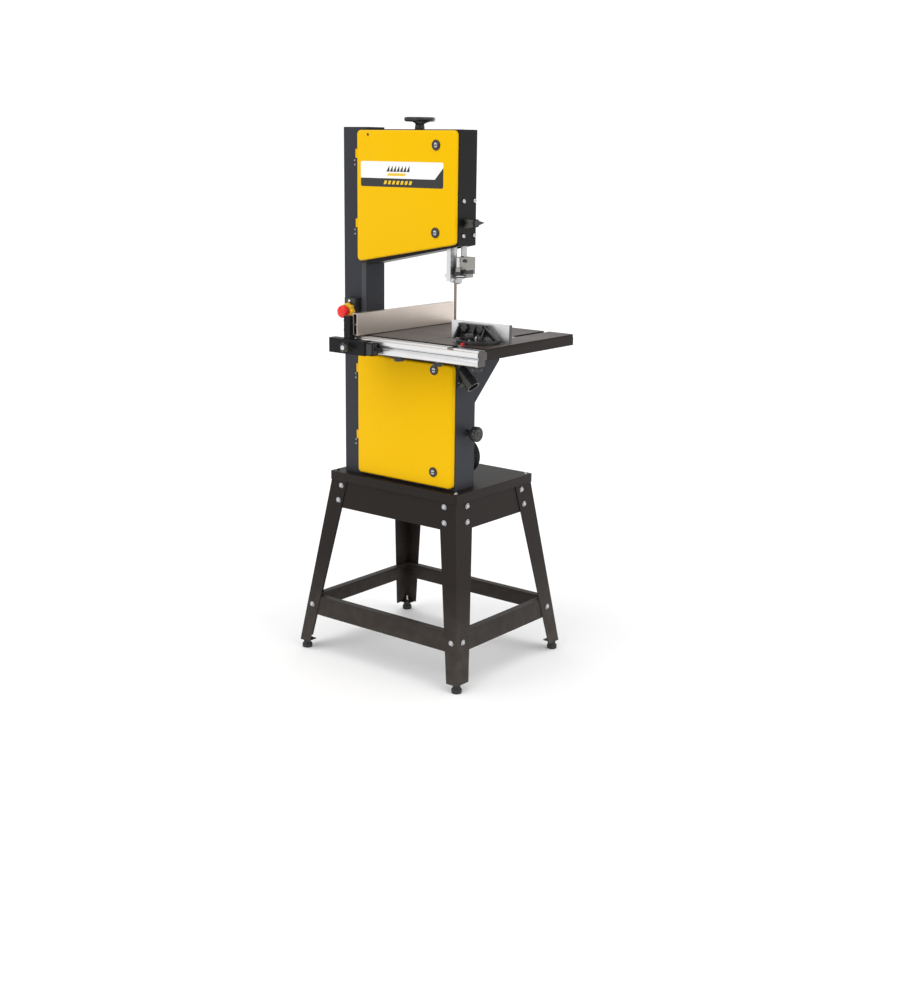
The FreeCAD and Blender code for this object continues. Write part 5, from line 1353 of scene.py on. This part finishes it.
def build_fence():
    """The tall fence, its head, end block and clamp knob."""
    softened("fence_profile", "fence_face", fence_aluminium(), "extrusion", 0.5 * MM, 2)
    softened("fence_head", "fence_carriage", panel_paint(), "panel_paint", size("cast_edge"), 2)
    lobed_knob("fence_knob", "-y", 3, cap=satin_silver())
    low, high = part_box("fence_head")
    end = high.x - 51.5 * MM
    roller = block("fence_end_block", (end - 1 * MM, low.y + 2.4 * MM, low.z + 1.4 * MM),
                   (end + 27.4 * MM, low.y + 25 * MM, low.z + 38.6 * MM), 7 * MM, 5)
    dress(roller, black_plastic(), "fence", "panel_paint")
    low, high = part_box("fence_profile")
    spots = [(Vector((low.x - 22.0 * MM, low.y - 9 * MM, z)), Vector((-1, 0, 0)))
             for z in (low.z + 14 * MM, low.z + 40 * MM)]
    screws = scattered("fence_screws", socket_head_mesh(8 * MM), spots, zinc())
    dress(screws, zinc(), "fence", "bright_zinc")


def build_mitre_gauge():
    """Bar, protractor head with its marks and pointer, face plate and knobs."""
    edge = size("fine_edge")
    softened("mitre_bar", "mitre_guide_bar", turned_steel(), "steel", edge, 2)
    softened("mitre_head", "mitre_protractor", black_plastic(), "matte_plastic", size("cast_edge"), 2)
    softened("mitre_plate", "mitre_face_plate", plate_aluminium(), "extrusion", edge, 2)
    lobed_knob("mitre_knob", "z", 6)
    low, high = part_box("mitre_head")
    pivot_x = (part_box("mitre_bar")[0].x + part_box("mitre_bar")[1].x) / 2
    pivot_y = low.y + 62 * MM
    ticks = []
    tick_count, first_tick, between = 25, 195.0, 6.25      # the angles are in degrees
    outer, top = 60.5 * MM, low.z + 8.4 * MM
    for step in range(tick_count):
        angle = math.radians(first_tick + between * step)
        half = (3.2 if step % 4 == 0 else 1.8) * MM
        reach = outer - half
        place = (pivot_x + reach * math.cos(angle), pivot_y + reach * math.sin(angle), top)
        tick = block("tick", (-half, -0.25 * MM, 0), (half, 0.25 * MM, 0.15 * MM), 0.03 * MM, 1)
        tick.data.transform(Matrix.Translation(place) @ Matrix.Rotation(angle, 4, "Z"))
        ticks.append(tick)
    dress(joined("mitre_marks", ticks), moulded("Mark white", (0.75, 0.75, 0.74), 0.4), "mitre_head",
          "matte_plastic")
    arrow = [(-4 * MM, 0), (4 * MM, 0), (0.8 * MM, 10 * MM), (-0.8 * MM, 10 * MM)]
    pointer = slab("mitre_pointer", arrow, 5 * MM,
                   (pivot_x, pivot_y - 76 * MM, low.z - 0.6 * MM), "z", 0.4 * MM)
    dress(pointer, stop_plastic(), "mitre_bar", "stop_red")
    build_mitre_casting(pivot_x, pivot_y)
    clamps = []
    for offset in (-52, 2):
        centre = Vector((pivot_x + offset * MM, low.y + 71 * MM, high.z - 12 * MM))
        clamps.append(turned_piece("clamp", centre, "-y", [
            (0, -4 * MM, 0), (7 * MM, -4 * MM, 0), (8 * MM, 0, 0), (10.5 * MM, 1.5 * MM),
            (11.2 * MM, 4 * MM), (11.2 * MM, 10 * MM), (9.6 * MM, 12.4 * MM), (0, 13 * MM, 0)],
            lobes=6, depth=2 * MM, steps=96))
    dress(joined("mitre_plate_knobs", clamps), black_plastic(), "mitre_head", "knob_plastic")


def build_mitre_casting(pivot_x, pivot_y):
    """The sloping mass and gussets that brace the gauge's upright, and the plate's end cap."""
    low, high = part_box("mitre_head")
    plate_low, plate_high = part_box("mitre_plate")
    web, top = plate_low.y - 12 * MM, high.z
    seat = low.z + 7.6 * MM
    left, right = pivot_x - 76 * MM, pivot_x + 58 * MM
    work = bmesh.new()
    back, crest = web + 1 * MM, top - 20 * MM
    front = web - 14 * MM      # further out it would meet the clamp knob as the head swings
    corners = [(left + 4 * MM, back, crest), (pivot_x + 26 * MM, back, crest),
               (left + 12 * MM, front, seat), (pivot_x + 40 * MM, front, seat),
               (right - 4 * MM, back, seat), (left + 4 * MM, back, seat)]
    verts = [work.verts.new(corner) for corner in corners]
    for face in ((0, 1, 3, 2), (1, 4, 3), (0, 2, 5), (2, 3, 4, 5), (0, 5, 4, 1)):
        work.faces.new([verts[i] for i in face])
    pieces = [round_off(new_object("mass", closed_mesh("mass", work)), 2 * MM, 3)]
    for x, reach in ((left + 2 * MM, 30), (pivot_x - 21 * MM, 26), (pivot_x + 14 * MM, 26)):
        outline = [(-(top - 5 * MM), back), (-(top - 9 * MM), web - 9 * MM),
                   (-seat, web - reach * MM), (-seat, back)]
        pieces.append(slab("gusset", outline, 5 * MM, (x, 0, 0), "x", 1.2 * MM, 3))
    brace = slab("brace", [(pivot_x + 19 * MM, top - 1.5 * MM), (pivot_x + 13 * MM, top - 4 * MM),
                           (pivot_x + 52 * MM, seat), (right + 1 * MM, seat)], 9 * MM,
                 (0, back, 0), "-y", 1.6 * MM, 3)
    pieces.append(brace)
    dress(joined("mitre_casting", pieces), black_plastic(), "mitre_head", "matte_plastic")
    dress(turned_piece("mitre_stud", (pivot_x - 4 * MM, web - 12 * MM, top - 34 * MM), "-y", [
        (0, -6 * MM), (3.6 * MM, -6 * MM), (3.6 * MM, 5 * MM), (2.6 * MM, 6 * MM), (0, 6 * MM)], steps=32),
        satin_silver(), "mitre_head", "steel")
    cap = block("mitre_plate_cap", (plate_high.x - 3 * MM, plate_low.y - 0.4 * MM, plate_low.z + 0.3 * MM),
                (plate_high.x + 0.6 * MM, plate_high.y + 0.4 * MM, plate_high.z + 0.4 * MM), 0.5 * MM, 2)
    dress(cap, end_plastic(), "mitre_head", "matte_plastic")


def build_switch():
    """Switch box with its screw, lobed yellow collar and red mushroom button."""
    softened("switch_box", "switch_case", black_plastic(), "matte_plastic", 1.8 * MM, 3)
    low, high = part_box("switch_box")
    dress(turned_piece("switch_screw", ((low.x + high.x) / 2, low.y + 0.2 * MM, high.z - 8 * MM), "-y", [
        (0, 0), (4 * MM, 0), (4 * MM, 1.2 * MM), (2.6 * MM, 2.2 * MM), (0, 2.4 * MM)], steps=32),
        moulded("Mark white", (0.75, 0.75, 0.74), 0.4), "root", "bright_zinc")
    low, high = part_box("switch_collar")
    centre = Vector(((low.x + high.x) / 2, high.y, (low.z + high.z) / 2))
    collar = turned_piece("switch_guard_ring", centre, "-y", [
        (9.6 * MM, 0.1 * MM, 0), (20.5 * MM, 0.1 * MM, 0.4), (23 * MM, 1.4 * MM), (24.2 * MM, 5 * MM),
        (24.2 * MM, 12 * MM), (23 * MM, 15.6 * MM), (20 * MM, 17.6 * MM, 0.5), (16.5 * MM, 17.2 * MM, 0),
        (14.2 * MM, 13 * MM, 0), (9.6 * MM, 12.4 * MM, 0)], lobes=8, depth=3.6 * MM, steps=128, closed=True)
    dress(collar, collar_plastic(), "root", "switch_yellow", "switch_collar")
    low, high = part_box("stop_button")
    centre = Vector(((low.x + high.x) / 2, high.y, (low.z + high.z) / 2))
    deep = high.y - low.y
    button = turned_piece("stop_mushroom", centre, "-y", [
        (0, 0), (8.9 * MM, 0), (8.9 * MM, deep - 15.5 * MM), (14.5 * MM, deep - 15 * MM),
        (17.2 * MM, deep - 13.6 * MM), (18 * MM, deep - 11 * MM), (17.8 * MM, deep - 7 * MM),
        (16.4 * MM, deep - 3.6 * MM), (13 * MM, deep - 1.4 * MM), (7 * MM, deep - 0.2 * MM), (0, deep)],
        steps=64)
    dress(button, stop_plastic(), "stop_button", "stop_red", "stop_button")


def build_chute():
    """The dust outlet and the screws in its flange."""
    softened("dust_chute", "dust_outlet", black_plastic(), "knob_plastic", 0.8 * MM, 2)
    low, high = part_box("dust_chute")
    flange_x = low.x + 4 * MM
    middle = (low.y + high.y) / 2
    spots = [(Vector((flange_x, middle + side * 17.5 * MM, z)), Vector((1, 0, 0)))
             for side in (-1, 1) for z in (high.z - 4.5 * MM, high.z - 55 * MM)]
    screws = scattered("outlet_screws", socket_head_mesh(5 * MM), spots, zinc())
    dress(screws, zinc(), "root", "bright_zinc")


# ---------------------------------------------------------------- stage
def studio_floor():
    mesh = bpy.data.meshes.new("studio_floor")
    half = 60.0
    mesh.from_pydata([(-half, -half, 0), (half, -half, 0), (half, half, 0), (-half, half, 0)], [],
                     [(0, 1, 2, 3)])
    floor = new_object("studio_floor", mesh)
    material = bpy.data.materials.new("Studio floor")
    material.use_nodes = True
    shader = material.node_tree.nodes["Principled BSDF"]
    shader.inputs["Base Color"].default_value = (0.96, 0.96, 0.96, 1)
    shader.inputs["Roughness"].default_value = 0.9
    shader.inputs["Specular IOR Level"].default_value = 0.0
    mesh.materials.append(material)


def studio_world():
    """An even white surround, a little brighter where the camera sees it."""
    world = bpy.data.worlds.new("Studio")
    world.use_nodes = True
    tree = world.node_tree
    background = tree.nodes["Background"]
    background.inputs["Color"].default_value = (1.0, 1.0, 1.0, 1)
    path = tree.nodes.new("ShaderNodeLightPath")
    strength = tree.nodes.new("ShaderNodeMapRange")
    strength.inputs["To Min"].default_value = 0.72
    strength.inputs["To Max"].default_value = 1.05
    tree.links.new(path.outputs["Is Camera Ray"], strength.inputs["Value"])
    tree.links.new(strength.outputs[0], background.inputs["Strength"])
    bpy.context.scene.world = world


def soft_light(name, come_from, spread, strength):
    """A broad, distant lamp that shines from a direction over the whole floor alike."""
    data = bpy.data.lights.new(name, "SUN")
    data.angle = math.radians(spread)
    data.energy = strength
    lamp = bpy.data.objects.new(name, data)
    bpy.context.scene.collection.objects.link(lamp)
    lamp.rotation_euler = (-Vector(come_from)).to_track_quat("-Z", "Y").to_euler()


def studio_camera():
    """A camera at head height, turned to see the machine's front and right side."""
    data = bpy.data.cameras.new("Camera")
    data.lens = 50.13
    data.sensor_width = 36.0
    data.clip_end = 100.0
    camera = bpy.data.objects.new("Camera", data)
    bpy.context.scene.collection.objects.link(camera)
    place = (2.50927, -3.09963, 1.49699)
    yaw, pitch, roll = (math.radians(angle) for angle in (38.244, -14.269, 0.70))
    turn = (Matrix.Rotation(yaw, 4, "Z") @ Matrix.Rotation(math.pi / 2 + pitch, 4, "X")
            @ Matrix.Rotation(roll, 4, "Z"))
    camera.matrix_world = Matrix.Translation(place) @ turn
    bpy.context.scene.camera = camera


def build_stage():
    studio_floor()
    studio_world()
    studio_camera()
    soft_light("Top light", (0.1, -0.2, 1.0), 75, 0.90)
    soft_light("Front light", (-0.3, -1.0, 0.7), 50, 0.65)
    soft_light("Right light", (1.0, 0.1, 0.6), 40, 0.55)
    bpy.context.scene.view_settings.view_transform = "Standard"


# ---------------------------------------------------------------- operators
class SAW_OT_stage(bpy.types.Operator):
    """Makes the floor, the soft lights and the camera."""
    bl_idname = "saw.stage"
    bl_label = "Stage"

    def execute(self, context):
        build_stage()
        return {"FINISHED"}


class SAW_OT_stand(bpy.types.Operator):
    """Dresses the stand's plate, legs, aprons and braces."""
    bl_idname = "saw.stand"
    bl_label = "Stand"

    def execute(self, context):
        build_stand()
        build_stand_bolts()
        return {"FINISHED"}


class SAW_OT_feet(bpy.types.Operator):
    """Makes the four levelling feet with their studs and nuts."""
    bl_idname = "saw.feet"
    bl_label = "Levelling Feet"

    def execute(self, context):
        build_feet()
        return {"FINISHED"}


class SAW_OT_body(bpy.types.Operator):
    """Dresses the column, both wheel housings and the table support."""
    bl_idname = "saw.body"
    bl_label = "Body"

    def execute(self, context):
        build_body()
        return {"FINISHED"}


class SAW_OT_doors(bpy.types.Operator):
    """Makes the doors with their label, locks and hinges."""
    bl_idname = "saw.doors"
    bl_label = "Doors"

    def execute(self, context):
        build_doors()
        build_locks()
        build_hinges()
        return {"FINISHED"}


class SAW_OT_wheels(bpy.types.Operator):
    """Makes the wheels, tyres, bearings and the toothed blade."""
    bl_idname = "saw.wheels"
    bl_label = "Wheels and Blade"

    def execute(self, context):
        build_wheels()
        build_blade()
        return {"FINISHED"}


class SAW_OT_drive(bpy.types.Operator):
    """Makes the motor, belt, pulley and belt-tension knob."""
    bl_idname = "saw.drive"
    bl_label = "Drive"

    def execute(self, context):
        build_drive()
        build_belt_knob()
        return {"FINISHED"}


class SAW_OT_tension(bpy.types.Operator):
    """Makes the handwheel, screw, slide and tracking knob."""
    bl_idname = "saw.tension"
    bl_label = "Blade Tension"

    def execute(self, context):
        build_tension()
        return {"FINISHED"}


class SAW_OT_guides(bpy.types.Operator):
    """Makes the blade guides, guard and wing knob."""
    bl_idname = "saw.guides"
    bl_label = "Blade Guides"

    def execute(self, context):
        build_guides()
        return {"FINISHED"}


class SAW_OT_table(bpy.types.Operator):
    """Makes the table, its insert and trunnions."""
    bl_idname = "saw.table"
    bl_label = "Table"

    def execute(self, context):
        build_table()
        return {"FINISHED"}


class SAW_OT_rail(bpy.types.Operator):
    """Makes the front rail with its rule and knobs."""
    bl_idname = "saw.rail"
    bl_label = "Front Rail"

    def execute(self, context):
        build_rail()
        return {"FINISHED"}


class SAW_OT_fence(bpy.types.Operator):
    """Makes the rip fence."""
    bl_idname = "saw.fence"
    bl_label = "Fence"

    def execute(self, context):
        build_fence()
        return {"FINISHED"}


class SAW_OT_mitre(bpy.types.Operator):
    """Makes the mitre gauge."""
    bl_idname = "saw.mitre"
    bl_label = "Mitre Gauge"

    def execute(self, context):
        build_mitre_gauge()
        return {"FINISHED"}


class SAW_OT_switch(bpy.types.Operator):
    """Makes the switch box, collar and stop button."""
    bl_idname = "saw.switch"
    bl_label = "Switch"

    def execute(self, context):
        build_switch()
        return {"FINISHED"}


class SAW_OT_chute(bpy.types.Operator):
    """Makes the dust outlet."""
    bl_idname = "saw.chute"
    bl_label = "Dust Outlet"

    def execute(self, context):
        build_chute()
        return {"FINISHED"}


OPERATORS = (SAW_OT_stage, SAW_OT_stand, SAW_OT_feet, SAW_OT_body, SAW_OT_doors, SAW_OT_wheels,
             SAW_OT_drive, SAW_OT_tension, SAW_OT_guides, SAW_OT_table, SAW_OT_rail, SAW_OT_fence,
             SAW_OT_mitre, SAW_OT_switch, SAW_OT_chute)


class SAW_PT_panel(bpy.types.Panel):
    """Lists the band saw's operators and settings."""
    bl_idname = "SAW_PT_panel"
    bl_label = "Band Saw"
    bl_space_type = "VIEW_3D"
    bl_region_type = "UI"
    bl_category = "Band Saw"

    def draw(self, context):
        layout = self.layout
        for operator in OPERATORS:
            layout.operator(operator.bl_idname)
        for group in (context.scene.saw_finish, context.scene.saw_detail):
            box = layout.box()
            for name in group.__annotations__:
                box.prop(group, name)


CLASSES = (FinishSettings, DetailSettings, *OPERATORS, SAW_PT_panel)


def register():
    for item in CLASSES:
        bpy.utils.register_class(item)
    bpy.types.Scene.saw_finish = PointerProperty(type=FinishSettings)
    bpy.types.Scene.saw_detail = PointerProperty(type=DetailSettings)


def unregister():
    del bpy.types.Scene.saw_detail
    del bpy.types.Scene.saw_finish
    for item in reversed(CLASSES):
        bpy.utils.unregister_class(item)


def main():
    register()
    for operator in OPERATORS:
        group, name = operator.bl_idname.split(".")
        getattr(getattr(bpy.ops, group), name)()


if __name__ == "__main__":
    main()
